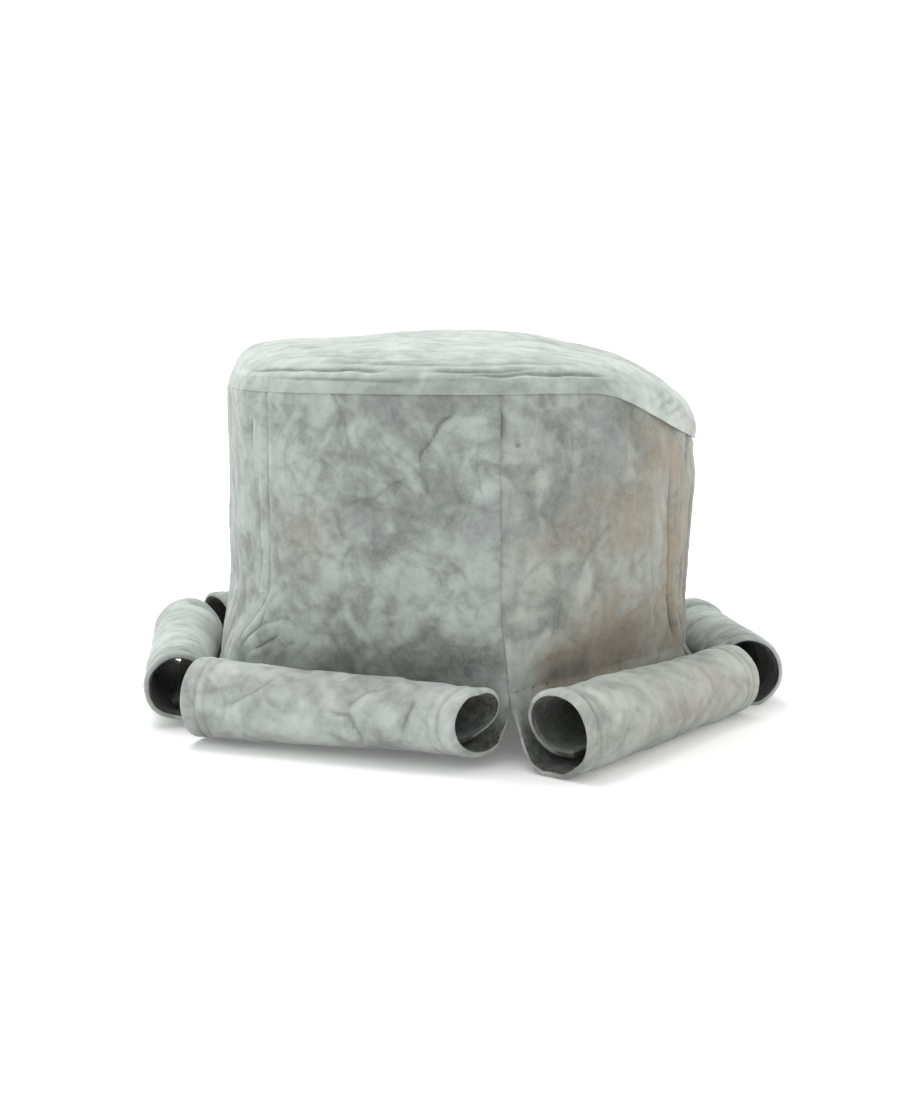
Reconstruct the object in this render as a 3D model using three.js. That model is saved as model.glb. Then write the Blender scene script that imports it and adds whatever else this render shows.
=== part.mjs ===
// A soft tulip hat that stands on its own rolled brim, in millimetres with +Z up.
// Six panels are sewn edge to edge under a round, slumped tip. Where their seams stop, at the notches,
// each panel runs on as a brim petal that is rolled outwards and up into an open tube.
// The front of the hat looks along -Y, and left and right are as seen from there.
// Turns are degrees round the crown from the front, growing to the right (+X).
import * as THREE from "three";

// Driving dimensions of the crown: its sides run from the notches up to the tip seam.
const headRadius = 95;
const notchHeight = 24;
const sideHeight = 106;
const clothWall = 2;
const seamGap = 0.3;

// Driving dimensions of the tip: how far it rises above its seam, and how square its shoulder is.
const tipRise = 15;
const tipSquareness = 3.2;

// Driving dimensions of the rolled petals: the free way between two turns of the cloth, and how far a roll
// is pressed flat where it rests.
const rollRadius = 15;
const rollClearance = 1.2;
const restDip = 0.9;

// The six seams, in order of their turn. Radii are shares of the head radius, at the notch (foot),
// at the waist of the crown and at the tip seam (shoulder). The foot has a turn of its own.
const seams = [
  { name: "left_front", footTurn: -58, turn: -51, foot: 1.08, waist: 0.96, shoulder: 0.96 },
  { name: "front", footTurn: 10, turn: 9, foot: 1.04, waist: 0.98, shoulder: 0.965 },
  { name: "right_front", footTurn: 81, turn: 76, foot: 0.95, waist: 0.92, shoulder: 0.95 },
  { name: "right_back", footTurn: 125, turn: 127, foot: 1.07, waist: 1.0, shoulder: 0.98 },
  { name: "back", footTurn: 186, turn: 187, foot: 1.04, waist: 0.98, shoulder: 0.98 },
  { name: "left_back", footTurn: 245, turn: 244, foot: 1.12, waist: 1.03, shoulder: 1.0 },
];

// The six panels, each from its own seam to the next. Bulges are how far the cloth bows out past the
// straight line between two seams, as shares of the head radius.
// Start and end are the two ends of its roll: reach is how far the roll lies outside the seam's foot, and
// flare how far it runs past that foot, as shares of the head radius. Radius and lift are shares of the
// roll radius.
const panels = [
  {
    name: "front_left",
    bulge: { foot: 0.01, waist: 0.1, shoulder: 0.11 },
    start: { reach: 0.16, flare: 0.04, radius: 1.05, lift: 0.12 },
    end: { reach: 0.14, flare: -0.05, radius: 0.87, lift: 0.36 },
  },
  {
    name: "front_right",
    bulge: { foot: 0.01, waist: 0.11, shoulder: 0.12 },
    start: { reach: 0.27, flare: 0.07, radius: 1.12, lift: 0 },
    end: { reach: 0.21, flare: 0.03, radius: 0.96, lift: 0 },
  },
  {
    name: "right",
    bulge: { foot: 0.06, waist: 0.11, shoulder: 0.12 },
    start: { reach: 0.26, flare: 0.05, radius: 1.02, lift: 0 },
    end: { reach: 0.22, flare: 0.11, radius: 1.0, lift: 0 },
  },
  {
    name: "back_right",
    bulge: { foot: 0.05, waist: 0.12, shoulder: 0.12 },
    start: { reach: 0.2, flare: 0.02, radius: 1.08, lift: 0 },
    end: { reach: 0.2, flare: 0.02, radius: 1.0, lift: 0 },
  },
  {
    name: "back_left",
    bulge: { foot: 0.05, waist: 0.12, shoulder: 0.12 },
    start: { reach: 0.2, flare: 0.02, radius: 1.0, lift: 0 },
    end: { reach: 0.2, flare: 0.02, radius: 1.16, lift: 0 },
  },
  {
    name: "left",
    bulge: { foot: 0.04, waist: 0.13, shoulder: 0.14 },
    start: { reach: 0.22, flare: 0.1, radius: 1.12, lift: 0 },
    end: { reach: 0.2, flare: -0.05, radius: 0.94, lift: 0.25 },
  },
];

// Where the tip seam sinks: turn and spread in degrees, drop as a share of the side height.
const rimSlumps = [
  { turn: 90, spread: 31, drop: 0.22 },
  { turn: -75, spread: 40, drop: 0.015 },
];

// Humps of the tip: place and spread as shares of the head radius, rise as a share of the tip's rise.
const tipHumps = [{ x: 0.1, y: 0.2, spread: 0.5, rise: 0.18 }];

// Creases that run round the tip just above its seam: place and width are shares of the way from the seam
// to the middle, depth a share of the cloth wall, and the crease fades out past its two turns.
const tipCreases = [
  { place: 0.0105, width: 0.005, depth: 0.9, fromTurn: -52, toTurn: 40 },
  { place: 0.055, width: 0.015, depth: 0.6, fromTurn: -45, toTurn: 32 },
];
const tipCreaseEdge = 14;

// Upright folds of the side: turn and width in degrees, from and to as shares of the side height, and lean
// the degrees that a fold turns over the whole height. Depth is a share of the cloth wall, below 0 a groove.
const sideFolds = [
  { turn: -66, width: 5, lean: 2, from: 0.1, to: 0.92, depth: 0.6 },
  { turn: -78, width: 6, lean: -3, from: 0.3, to: 1, depth: -0.5 },
  { turn: -48, width: 6, lean: -22, from: -0.1, to: 0.28, depth: 0.8 },
  { turn: -20, width: 9, lean: -30, from: 0.35, to: 0.9, depth: -0.5 },
  { turn: 38, width: 8, lean: 10, from: 0.1, to: 0.7, depth: -0.5 },
  { turn: 66, width: 5, lean: 0, from: 0.1, to: 0.85, depth: -0.6 },
  { turn: 86, width: 6, lean: 0, from: 0.05, to: 0.8, depth: 0.6 },
  { turn: 150, width: 9, lean: 14, from: 0.1, to: 0.8, depth: -0.6 },
  { turn: 215, width: 9, lean: -18, from: 0.2, to: 0.9, depth: -0.5 },
];
const sideFoldEdge = 0.12;

// How finely each wall is divided: shares of the way across a panel, down its side to the notch line,
// and in from the tip seam to the middle.
const acrossPanel = [0, 0.06, 0.14, 0.27, 0.42, 0.58, 0.73, 0.86, 0.94, 1];
const downPanel = [1, 0.9, 0.76, 0.58, 0.4, 0.25, 0.15, 0.07];
const inTip = [0, 0.004, 0.0105, 0.018, 0.035, 0.055, 0.1, 0.22, 0.42, 0.7];

// The waist's share of the side height.
const waistLevel = 0.3;

// A short step along the tip's face, as a share of the way in, which shows where that face looks.
const shortStep = 0.002;

// A petal's section: it drops from the notch line in a curve, whose pulls are shares of half its length, and
// joins the roll low on its inner side. Turns are degrees about the middle of the roll, from straight out.
const rollJoinTurn = 235;
const rollEndTurn = 650;
const rollSteps = 18;
const dropSteps = 5;
const leavePull = 0.12;
const joinPull = 0.55;

const lerp = THREE.MathUtils.lerp;
const radians = THREE.MathUtils.degToRad;
const ease = (share) => THREE.MathUtils.smoothstep(share, 0, 1);

// A bell curve of height 1 at 0.
const bell = (offset, spread) => Math.exp(-((offset / spread) ** 2));

// A low arch of height 1 over the shares from 0 to 1.
const arch = (share) => 4 * share * (1 - share);

// 1 between two limits, fading to 0 over a soft edge outside them.
function fadeBetween(value, low, high, edge) {
  return ease((value - low) / edge + 1) * ease((high - value) / edge + 1);
}

// The point at a turn, a radius and a height.
function polar(turn, radius, height = 0) {
  const angle = radians(turn);
  return new THREE.Vector3(radius * Math.sin(angle), -radius * Math.cos(angle), height);
}

// The turn of a point about the crown's axis, in degrees.
const turnOf = (point) => THREE.MathUtils.radToDeg(Math.atan2(point.x, -point.y));

// The smallest difference between two turns, in degrees.
const turnBetween = (a, b) => THREE.MathUtils.euclideanModulo(a - b + 180, 360) - 180;

// A value that goes from its foot through its waist to its shoulder as the level rises from 0 to 1.
function byLevel(level, foot, waist, shoulder) {
  if (level < waistLevel) return lerp(foot, waist, ease(level / waistLevel));
  return lerp(waist, shoulder, ease((level - waistLevel) / (1 - waistLevel)));
}

// Height of the tip seam at a turn.
function rimHeight(turn) {
  const sunk = rimSlumps.reduce((sum, slump) => {
    return sum + slump.drop * bell(turnBetween(turn, slump.turn), slump.spread);
  }, 0);
  return notchHeight + sideHeight * (1 - sunk);
}

// Where a seam runs at a level, in plan.
function seamPoint(seam, level) {
  const turn = byLevel(level, seam.footTurn, seam.turn, seam.turn);
  return polar(turn, headRadius * byLevel(level, seam.foot, seam.waist, seam.shoulder));
}

// How far the side's folds push the cloth out at a turn and level.
function foldDepth(turn, level) {
  return sideFolds.reduce((sum, fold) => {
    const middle = fold.turn + fold.lean * (level - fold.from);
    const inside = fadeBetween(level, fold.from, fold.to, sideFoldEdge);
    return sum + fold.depth * clothWall * bell(turnBetween(turn, middle), fold.width) * inside;
  }, 0);
}

// The outer face of a panel: across from 0 to 1 between its two seams, level from 0 at the notches to 1.
function panelPoint(index, across, level) {
  const panel = panels[index];
  const first = seamPoint(seams[index], level);
  const last = seamPoint(seams[(index + 1) % seams.length], level);
  const chord = last.clone().sub(first);
  const outward = new THREE.Vector3(chord.y, -chord.x, 0).normalize();
  const bulge = headRadius * byLevel(level, panel.bulge.foot, panel.bulge.waist, panel.bulge.shoulder);
  const point = first.addScaledVector(chord, across).addScaledVector(outward, bulge * arch(across));
  const turn = turnOf(point);
  point.addScaledVector(polar(turn, 1), foldDepth(turn, level));
  point.z = lerp(notchHeight, rimHeight(turn), level);
  return point;
}

// A point moved in towards the crown's axis.
const movedIn = (point, distance) => point.clone().addScaledVector(polar(turnOf(point), 1), -distance);

// The closed wall between an outer and an inner grid of points, each a list of rows.
function wallGeometry(outer, inner) {
  const rows = outer.length - 1;
  const columns = outer[0].length - 1;
  const points = [...outer.flat(), ...inner.flat()];
  const out = (row, column) => row * (columns + 1) + column;
  const into = (row, column) => out(row, column) + (rows + 1) * (columns + 1);
  const index = [];
  const quad = (a, b, c, d) => index.push(a, b, c, a, c, d);
  for (let i = 0; i < rows; i++) {
    for (let j = 0; j < columns; j++) {
      quad(out(i, j), out(i, j + 1), out(i + 1, j + 1), out(i + 1, j));
      quad(into(i, j), into(i + 1, j), into(i + 1, j + 1), into(i, j + 1));
    }
  }
  for (let i = 0; i < rows; i++) {
    quad(out(i, 0), out(i + 1, 0), into(i + 1, 0), into(i, 0));
    quad(out(i + 1, columns), out(i, columns), into(i, columns), into(i + 1, columns));
  }
  for (let j = 0; j < columns; j++) {
    quad(out(0, j + 1), out(0, j), into(0, j), into(0, j + 1));
    quad(out(rows, j), out(rows, j + 1), into(rows, j + 1), into(rows, j));
  }
  return indexedGeometry(points, index);
}

// The closed wall of a dish: rings of points from its edge inwards, closed by one pole on each face.
function dishGeometry(outerRings, innerRings, outerPole, innerPole) {
  const count = outerRings[0].length;
  const last = outerRings.length - 1;
  const points = [...outerRings.flat(), ...innerRings.flat(), outerPole, innerPole];
  const out = (ring, i) => ring * count + (i % count);
  const into = (ring, i) => out(ring, i) + outerRings.length * count;
  const index = [];
  const quad = (a, b, c, d) => index.push(a, b, c, a, c, d);
  for (let i = 0; i < count; i++) {
    for (let ring = 0; ring < last; ring++) {
      quad(out(ring, i), out(ring, i + 1), out(ring + 1, i + 1), out(ring + 1, i));
      quad(into(ring, i), into(ring + 1, i), into(ring + 1, i + 1), into(ring, i + 1));
    }
    quad(out(0, i + 1), out(0, i), into(0, i), into(0, i + 1));
    index.push(out(last, i), out(last, i + 1), points.length - 2);
    index.push(into(last, i + 1), into(last, i), points.length - 1);
  }
  return indexedGeometry(points, index);
}

function indexedGeometry(points, index) {
  const geometry = new THREE.BufferGeometry().setFromPoints(points);
  geometry.setIndex(index);
  geometry.computeVertexNormals();
  return geometry;
}

// The smooth outer face of the tip: a share of the way in from the tip seam, above one point of that seam.
function tipBase(rim, inward) {
  const out = 1 - inward;
  const dome = (1 - out ** tipSquareness) ** (1 / tipSquareness);
  const point = new THREE.Vector3(rim.x * out, rim.y * out, 0);
  const hump = tipHumps.reduce((sum, row) => {
    const distance = Math.hypot(point.x - row.x * headRadius, point.y - row.y * headRadius);
    return sum + row.rise * bell(distance, row.spread * headRadius);
  }, 0);
  const middle = notchHeight + sideHeight;
  point.z = lerp(middle, rim.z, out ** 2) + seamGap + tipRise * dome * (1 + hump);
  return point;
}

// How deep the tip's creases are at a turn, a share of the way in.
function creaseDepth(turn, inward) {
  return tipCreases.reduce((sum, crease) => {
    const inside = fadeBetween(turn, crease.fromTurn, crease.toTurn, tipCreaseEdge);
    return sum + crease.depth * clothWall * bell(inward - crease.place, crease.width) * inside;
  }, 0);
}

// The tip's outward normal, from two short steps along its smooth face. At its seam it points straight out.
function tipNormal(rim, nextRim, inward) {
  if (inward === 0) return polar(turnOf(rim), 1);
  const along = tipBase(nextRim, inward).sub(tipBase(rim, inward));
  const up = tipBase(rim, inward + shortStep).sub(tipBase(rim, inward));
  return along.cross(up).normalize();
}

// The round top of the crown, one shell that stands on the tip seam.
function tipGeometry() {
  const shares = acrossPanel.slice(0, -1);
  const rim = panels.flatMap((_, index) => shares.map((share) => panelPoint(index, share, 1)));
  const outer = [];
  const inner = [];
  for (const inward of inTip) {
    const ring = rim.map((point, i) => {
      const normal = tipNormal(point, rim[(i + 1) % rim.length], inward);
      const base = tipBase(point, inward);
      return { base, normal, crease: creaseDepth(turnOf(point), inward) };
    });
    const sunk = (depth) => ring.map((row) => row.base.clone().addScaledVector(row.normal, -row.crease - depth));
    outer.push(sunk(0));
    inner.push(sunk(clothWall));
  }
  const pole = tipBase(rim[0], 1);
  return dishGeometry(outer, inner, pole, pole.clone().setZ(pole.z - clothWall));
}

// The section of a petal in its own upright plane: x runs outwards and y upwards from the middle of the roll.
// It drops from the notch line, passes under the roll and winds up over it and in again.
function petalSection(start, radius, floor) {
  const pitch = clothWall + rollClearance;
  const spiral = (turn) => {
    const angle = radians(turn);
    const distance = radius - (pitch * (turn - rollJoinTurn)) / 360;
    return new THREE.Vector2(Math.cos(angle), Math.sin(angle)).multiplyScalar(distance);
  };
  const join = spiral(rollJoinTurn);
  const heading = spiral(rollJoinTurn + 1).sub(join).normalize();
  const pull = start.distanceTo(join) / 2;
  const drop = new THREE.CubicBezierCurve(
    start,
    new THREE.Vector2(start.x, start.y - pull * leavePull),
    join.clone().addScaledVector(heading, -pull * joinPull),
    join,
  );
  const line = drop.getPoints(dropSteps);
  for (let i = 1; i <= rollSteps; i++) line.push(spiral(lerp(rollJoinTurn, rollEndTurn, i / rollSteps)));
  return line.map((point, i) => {
    const before = line[Math.max(i - 1, 0)];
    const after = line[Math.min(i + 1, line.length - 1)];
    const ahead = after.clone().sub(before).normalize();
    const away = new THREE.Vector2(ahead.y, -ahead.x);
    const face = point.clone();
    const back = point.clone().addScaledVector(away, -clothWall);
    face.y = Math.max(face.y, floor);
    back.y = Math.max(back.y, floor + clothWall);
    return { face, back, drop: Math.min(i / dropSteps, 1) };
  });
}

// The two ends of the roll below a panel, in plan, and the way that the roll runs and faces.
function rollFrame(index) {
  const { start, end } = panels[index];
  const feet = [seamPoint(seams[index], 0), seamPoint(seams[(index + 1) % seams.length], 0)];
  const chord = feet[1].clone().sub(feet[0]).normalize();
  const out = new THREE.Vector3(chord.y, -chord.x, 0);
  const ends = [
    feet[0].addScaledVector(out, start.reach * headRadius).addScaledVector(chord, -start.flare * headRadius),
    feet[1].addScaledVector(out, end.reach * headRadius).addScaledVector(chord, end.flare * headRadius),
  ];
  const axis = ends[1].clone().sub(ends[0]).normalize();
  return { ends, axis, outward: new THREE.Vector3(axis.y, -axis.x, 0) };
}

// One column of a petal, from the notch line down to the free edge inside the roll, as two rows of points:
// outer is the face that looks outwards on the crown and into the roll on the petal.
function petalColumn(index, frame, share, foot) {
  const { start, end } = panels[index];
  const radius = rollRadius * lerp(start.radius, end.radius, share);
  const middle = frame.ends[0].clone().lerp(frame.ends[1], share);
  middle.z = radius - restDip + rollRadius * lerp(start.lift, end.lift, share);
  const head = foot.clone().sub(middle);
  const sideways = head.dot(frame.axis);
  const headEdge = new THREE.Vector2(head.dot(frame.outward) - clothWall, head.z);
  const section = petalSection(headEdge, radius, -middle.z);
  const place = (point, drop) =>
    middle
      .clone()
      .addScaledVector(frame.axis, sideways * (1 - ease(drop) ** 2))
      .addScaledVector(frame.outward, point.x)
      .setZ(middle.z + point.y);
  const mitre = frame.outward.clone().sub(polar(turnOf(foot), 1));
  const mitred = (row) => place(row.face, row.drop).addScaledVector(mitre, clothWall * (1 - ease(row.drop)));
  return { outer: section.map((row) => place(row.back, row.drop)), inner: section.map(mitred) };
}

// One panel with its petal: a single cloth from the tip seam down to the free edge inside the roll.
// Half the seam gap is left free along each upright seam.
function panelGeometry(index) {
  const frame = rollFrame(index);
  const width = seamPoint(seams[index], 1).distanceTo(seamPoint(seams[(index + 1) % seams.length], 1));
  const margin = seamGap / 2 / width;
  const outer = [];
  const inner = [];
  for (const share of acrossPanel) {
    const across = lerp(margin, 1 - margin, share);
    const side = downPanel.map((level) => panelPoint(index, across, level));
    const petal = petalColumn(index, frame, share, panelPoint(index, across, 0));
    outer.push([...side, ...petal.outer]);
    inner.push([...side.map((point) => movedIn(point, clothWall)), ...petal.inner]);
  }
  return wallGeometry(outer, inner);
}

const tipCloth = { color: 0xcfd6cf, roughness: 0.9, metalness: 0 };
const sideCloth = { color: 0xb4bab4, roughness: 0.92, metalness: 0 };

function piece(name, geometry, finish) {
  const mesh = new THREE.Mesh(geometry, new THREE.MeshStandardMaterial(finish));
  mesh.name = name;
  return mesh;
}

const hat = new THREE.Group();
hat.add(piece("tip", tipGeometry(), tipCloth));
panels.forEach((panel, index) => hat.add(piece(`panel_${panel.name}`, panelGeometry(index), sideCloth)));

// The origin is the middle of the hat's box on the surface that it stands on.
const box = new THREE.Box3().setFromObject(hat);
const centre = box.getCenter(new THREE.Vector3());
hat.position.set(-centre.x, -centre.y, -box.min.z);

export default hat;
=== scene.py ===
"""A soft tulip hat of washed hide that stands on its own rolled brim, in a plain pale studio.

Six panels are sewn edge to edge under a round, slumped tip. Where their seams stop, at the notches,
each panel runs on as a brim petal that is rolled outwards and up into an open tube. Lengths are metres.
Turns are degrees round the crown from the front (-Y), growing to the right (+X), and left and right are
as seen from the front. On a cloth, across is its share of the way from its left seam to its right one,
and down is how many metres of cloth lie between a point and the tip seam.
"""
import logging
from dataclasses import dataclass, field
from enum import Enum, IntEnum

import bpy
import numpy as np
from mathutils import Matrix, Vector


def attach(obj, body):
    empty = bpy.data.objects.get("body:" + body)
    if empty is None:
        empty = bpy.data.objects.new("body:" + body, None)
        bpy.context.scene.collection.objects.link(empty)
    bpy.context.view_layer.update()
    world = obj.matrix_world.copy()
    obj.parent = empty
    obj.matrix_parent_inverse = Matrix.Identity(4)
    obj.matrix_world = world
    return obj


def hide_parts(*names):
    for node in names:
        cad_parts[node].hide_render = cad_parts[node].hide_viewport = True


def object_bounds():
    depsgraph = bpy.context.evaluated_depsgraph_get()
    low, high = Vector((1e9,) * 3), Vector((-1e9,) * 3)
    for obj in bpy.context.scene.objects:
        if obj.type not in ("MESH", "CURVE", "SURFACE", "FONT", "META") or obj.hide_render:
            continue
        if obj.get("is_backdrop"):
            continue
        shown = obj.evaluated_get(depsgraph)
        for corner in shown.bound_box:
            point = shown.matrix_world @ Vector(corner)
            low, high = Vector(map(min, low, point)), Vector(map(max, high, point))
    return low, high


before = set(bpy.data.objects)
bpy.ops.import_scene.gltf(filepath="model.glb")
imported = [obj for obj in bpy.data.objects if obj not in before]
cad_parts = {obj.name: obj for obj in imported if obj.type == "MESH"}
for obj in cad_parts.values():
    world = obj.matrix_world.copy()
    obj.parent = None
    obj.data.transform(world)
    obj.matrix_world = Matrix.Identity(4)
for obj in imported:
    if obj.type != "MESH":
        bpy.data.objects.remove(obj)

Array = np.ndarray
log = logging.getLogger("hat")

ROOT = "root"
MILLI = 0.001
FULL_TURN = 360.0
WHITE = (1.0, 1.0, 1.0, 1.0)


class Slot(Enum):
    """The record's material slots."""

    TIP = "tip_hide"
    PANEL = "panel_hide"


class Held(Enum):
    """How a cloth is held in its shape."""

    DRAPED = "draped"
    FOLDED = "folded"


class Seed(IntEnum):
    """The seed of each kind of noise, so that every run is the same."""

    BEND = 3
    FOLDS = 7
    CRUMPLES = 11
    PUCKER = 17
    WARP_ACROSS = 21
    WARP_DOWN = 22
    STREAKS = 31
    FINE_STREAKS = 37
    TIP_STREAKS = 41
    STAINS_AND_SHADE = 51
    PANEL_WAVES = 60
    TIP_WAVES = 70


def ease(share: Array) -> Array:
    """A smooth step: 0 below 0, 1 above 1, and 3s² - 2s³ between them."""
    inside = np.clip(share, 0.0, 1.0)
    return inside * inside * (3.0 - 2.0 * inside)


def bell(offset: Array, spread: Array) -> Array:
    """A bell curve of height 1 at 0: the exponential of minus the square of offset over spread."""
    return np.exp(-((offset / spread) ** 2))


def lerp(low: Array, high: Array, share: Array) -> Array:
    """The value a share of the way from low to high."""
    return low + (high - low) * share


def fade_between(value: Array, low: float, high: float, edge: float) -> Array:
    """1 between two limits, easing to 0 over a soft edge outside them."""
    return ease((value - low) / edge + 1.0) * ease((high - value) / edge + 1.0)


def polar(turn: Array, radius: Array) -> Array:
    """Plan points at a turn and a radius: (r sin t, -r cos t)."""
    angle = np.radians(turn)
    return np.stack([radius * np.sin(angle), -radius * np.cos(angle)], axis=-1)


def turn_of(points: Array) -> Array:
    """The turn of each point about the crown's axis, in degrees."""
    return np.degrees(np.arctan2(points[..., 0], -points[..., 1]))


def turn_between(a: Array, b: Array) -> Array:
    """The smallest difference between two turns, in degrees."""
    half = FULL_TURN / 2
    return np.mod(a - b + half, FULL_TURN) - half


def leaning(x: Array, y: Array, lean: float) -> tuple[Array, Array]:
    """How far points of a flat cloth lie beside and along a line that leans left from straight down."""
    angle = np.radians(lean)
    return x * np.cos(angle) + y * np.sin(angle), y * np.cos(angle) - x * np.sin(angle)


def unit(vectors: Array) -> Array:
    """The vectors at length 1."""
    return vectors / np.maximum(np.linalg.norm(vectors, axis=-1, keepdims=True), 1e-12)


def normals_of(points: Array) -> Array:
    """Unit normals of a grid of points: across its columns crossed with down its rows, turned outwards."""
    return unit(np.cross(np.gradient(points, axis=1), np.gradient(points, axis=0)))


def lengths_along(points: Array, axis: int) -> Array:
    """How far each grid point lies from the grid's first edge, summed along one axis."""
    steps = np.linalg.norm(np.diff(points, axis=axis), axis=-1)
    start = np.zeros_like(np.take(steps, [0], axis=axis))
    return np.concatenate([start, np.cumsum(steps, axis=axis)], axis=axis)


def steps_inwards(length: float, zones: tuple[tuple[float, float], ...], step: float) -> Array:
    """Shares of a length, laid closely beside its start.

    Args:
        length: The whole length.
        zones: For each zone beside the start, where it ends and how long its steps are.
        step: How long the steps are past the last zone.

    Returns:
        Rising shares from 0 to 1.
    """
    stops = [np.zeros(1)]
    for until, fine in (*zones, (length, step)):
        start = stops[-1][-1]
        count = int(np.ceil((until - start) / fine))
        stops.append(np.linspace(start, until, count + 1)[1:])
    return np.concatenate(stops) / length


class Noise:
    """Smooth gradient noise in three dimensions on one seeded lattice.

    The waves of its crumples lean within a spread of degrees, and have lengths between two limits, patches
    of one size, a bend that changes with the place, and valleys as sharp as their power.
    """

    LATTICE = 256
    GAIN = 1.7
    OCTAVE_SHIFT = 11.3
    WAVES = 11
    WAVE_SPREAD = 42.0
    WAVE_LENGTHS = (9 * MILLI, 26 * MILLI)
    WAVE_MEAN = 0.64
    WAVE_SHIFT = 7.7
    PATCH_SIZE = 24 * MILLI
    PATCH_GAIN = 1.6
    BEND = 0.35
    BEND_SCALE = 1.3
    BEND_SHIFT = 40.0
    VALLEY_POWER = 5

    def __init__(self, seed: Seed) -> None:
        """Draws the lattice's order and slopes.

        Args:
            seed: Fixes the lattice, so that every run is the same.
        """
        random = np.random.default_rng(int(seed))
        self.order = random.permutation(self.LATTICE)
        self.slopes = unit(random.normal(size=(self.LATTICE, 3)))

    def at(self, points: Array) -> Array:
        """The noise, from about -1 to 1.

        In each cell of the lattice the eight corners' slopes are dotted with the way from the corner to
        the point, and blended by 6f⁵ - 15f⁴ + 10f³ of the point's place f in the cell.
        """
        cell = np.floor(points).astype(int)
        inside = points - cell
        weight = inside**3 * (inside * (inside * 6.0 - 15.0) + 10.0)
        total = np.zeros(points.shape[:-1])
        for corner in np.ndindex(2, 2, 2):
            key = 0
            for step in np.moveaxis(cell + corner, -1, 0):
                key = self.order[(step + key) % self.LATTICE]
            height = ((inside - corner) * self.slopes[key]).sum(-1)
            total += height * np.where(np.array(corner) == 1, weight, 1.0 - weight).prod(-1)
        return total * self.GAIN

    def clouds(self, points: Array, size: float, octaves: int = 3) -> Array:
        """Noise summed over octaves, each half as wide and half as high as the one before."""
        return sum(self.at(points / size * 2**i + i * self.OCTAVE_SHIFT) / 2**i for i in range(octaves))

    def streaks(self, x: Array, y: Array, lean: float, wide: float, long: float) -> Array:
        """Noise drawn out along one direction of a flat cloth.

        Args:
            x: Metres across the cloth.
            y: Metres down the cloth.
            lean: How far the streaks lean from straight down towards the left, in degrees.
            wide: The width of a streak.
            long: The length of a streak.

        Returns:
            Values from about -1 to 1.
        """
        beside, along = leaning(x, y, lean)
        return self.at(np.stack([beside / wide, along / long, np.zeros_like(x)], axis=-1))

    def crumples(self, x: Array, y: Array, lean: float, seed: int) -> tuple[Array, Array]:
        """Cloth that was crushed and smoothed out again.

        Several straight waves |sin| cross it, whose sharp valleys are creases. Each wave bends a little
        and shows only in patches of its own.

        Args:
            x: Metres across the cloth.
            y: Metres down the cloth.
            lean: The way that most creases lean from straight down towards the left, in degrees.
            seed: Fixes the waves' ways, lengths and patches.

        Returns:
            The height from about -1 to 1, and how deep in a crease each point lies, from 0 to 1.
        """
        random = np.random.default_rng(int(seed))
        height = np.zeros_like(x)
        valley = np.zeros_like(x)
        for wave in range(self.WAVES):
            beside, _ = leaning(x, y, lean + random.normal(0.0, self.WAVE_SPREAD))
            length = random.uniform(*self.WAVE_LENGTHS)
            layer = np.full_like(x, self.WAVE_SHIFT * wave + seed)
            spot = np.stack([x / self.PATCH_SIZE, y / self.PATCH_SIZE, layer], axis=-1)
            bend = self.BEND * self.at(spot * self.BEND_SCALE + self.BEND_SHIFT)
            rise = np.abs(np.sin(np.pi * (beside / length + bend + random.uniform())))
            patch = ease(self.PATCH_GAIN * self.at(spot))
            height += patch * (rise - self.WAVE_MEAN) * length / self.WAVE_LENGTHS[1]
            valley = np.maximum(valley, patch * (1.0 - rise) ** self.VALLEY_POWER)
        return height, valley


@dataclass(frozen=True)
class Seam:
    """One upright seam: its turn, with one of its own at the foot, and its radii as shares of the head's."""

    name: str
    foot_turn: float
    turn: float
    foot: float
    waist: float
    shoulder: float


@dataclass(frozen=True)
class RollEnd:
    """One end of a roll: reach, flare and skew as shares of the head radius, radius and lift of the roll's.

    Skew is how much further the end's inner side runs than its middle, and its outer side less far.
    """

    reach: float
    flare: float
    radius: float
    lift: float = 0.0
    skew: float = 0.0


@dataclass(frozen=True)
class PanelCut:
    """How one panel is cut: its bulges as shares of the head radius, and the two ends of its roll."""

    name: str
    bulge: tuple[float, float, float]
    start: RollEnd
    end: RollEnd


@dataclass(frozen=True)
class Slump:
    """A dip of the tip seam: its turn and spread in degrees, and its drop as a share of the side height."""

    turn: float
    spread: float
    drop: float


@dataclass(frozen=True)
class SideFold:
    """An upright fold of the side: degrees, shares of the side height, and a depth in cloth walls."""

    turn: float
    width: float
    lean: float
    start: float
    stop: float
    depth: float


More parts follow.
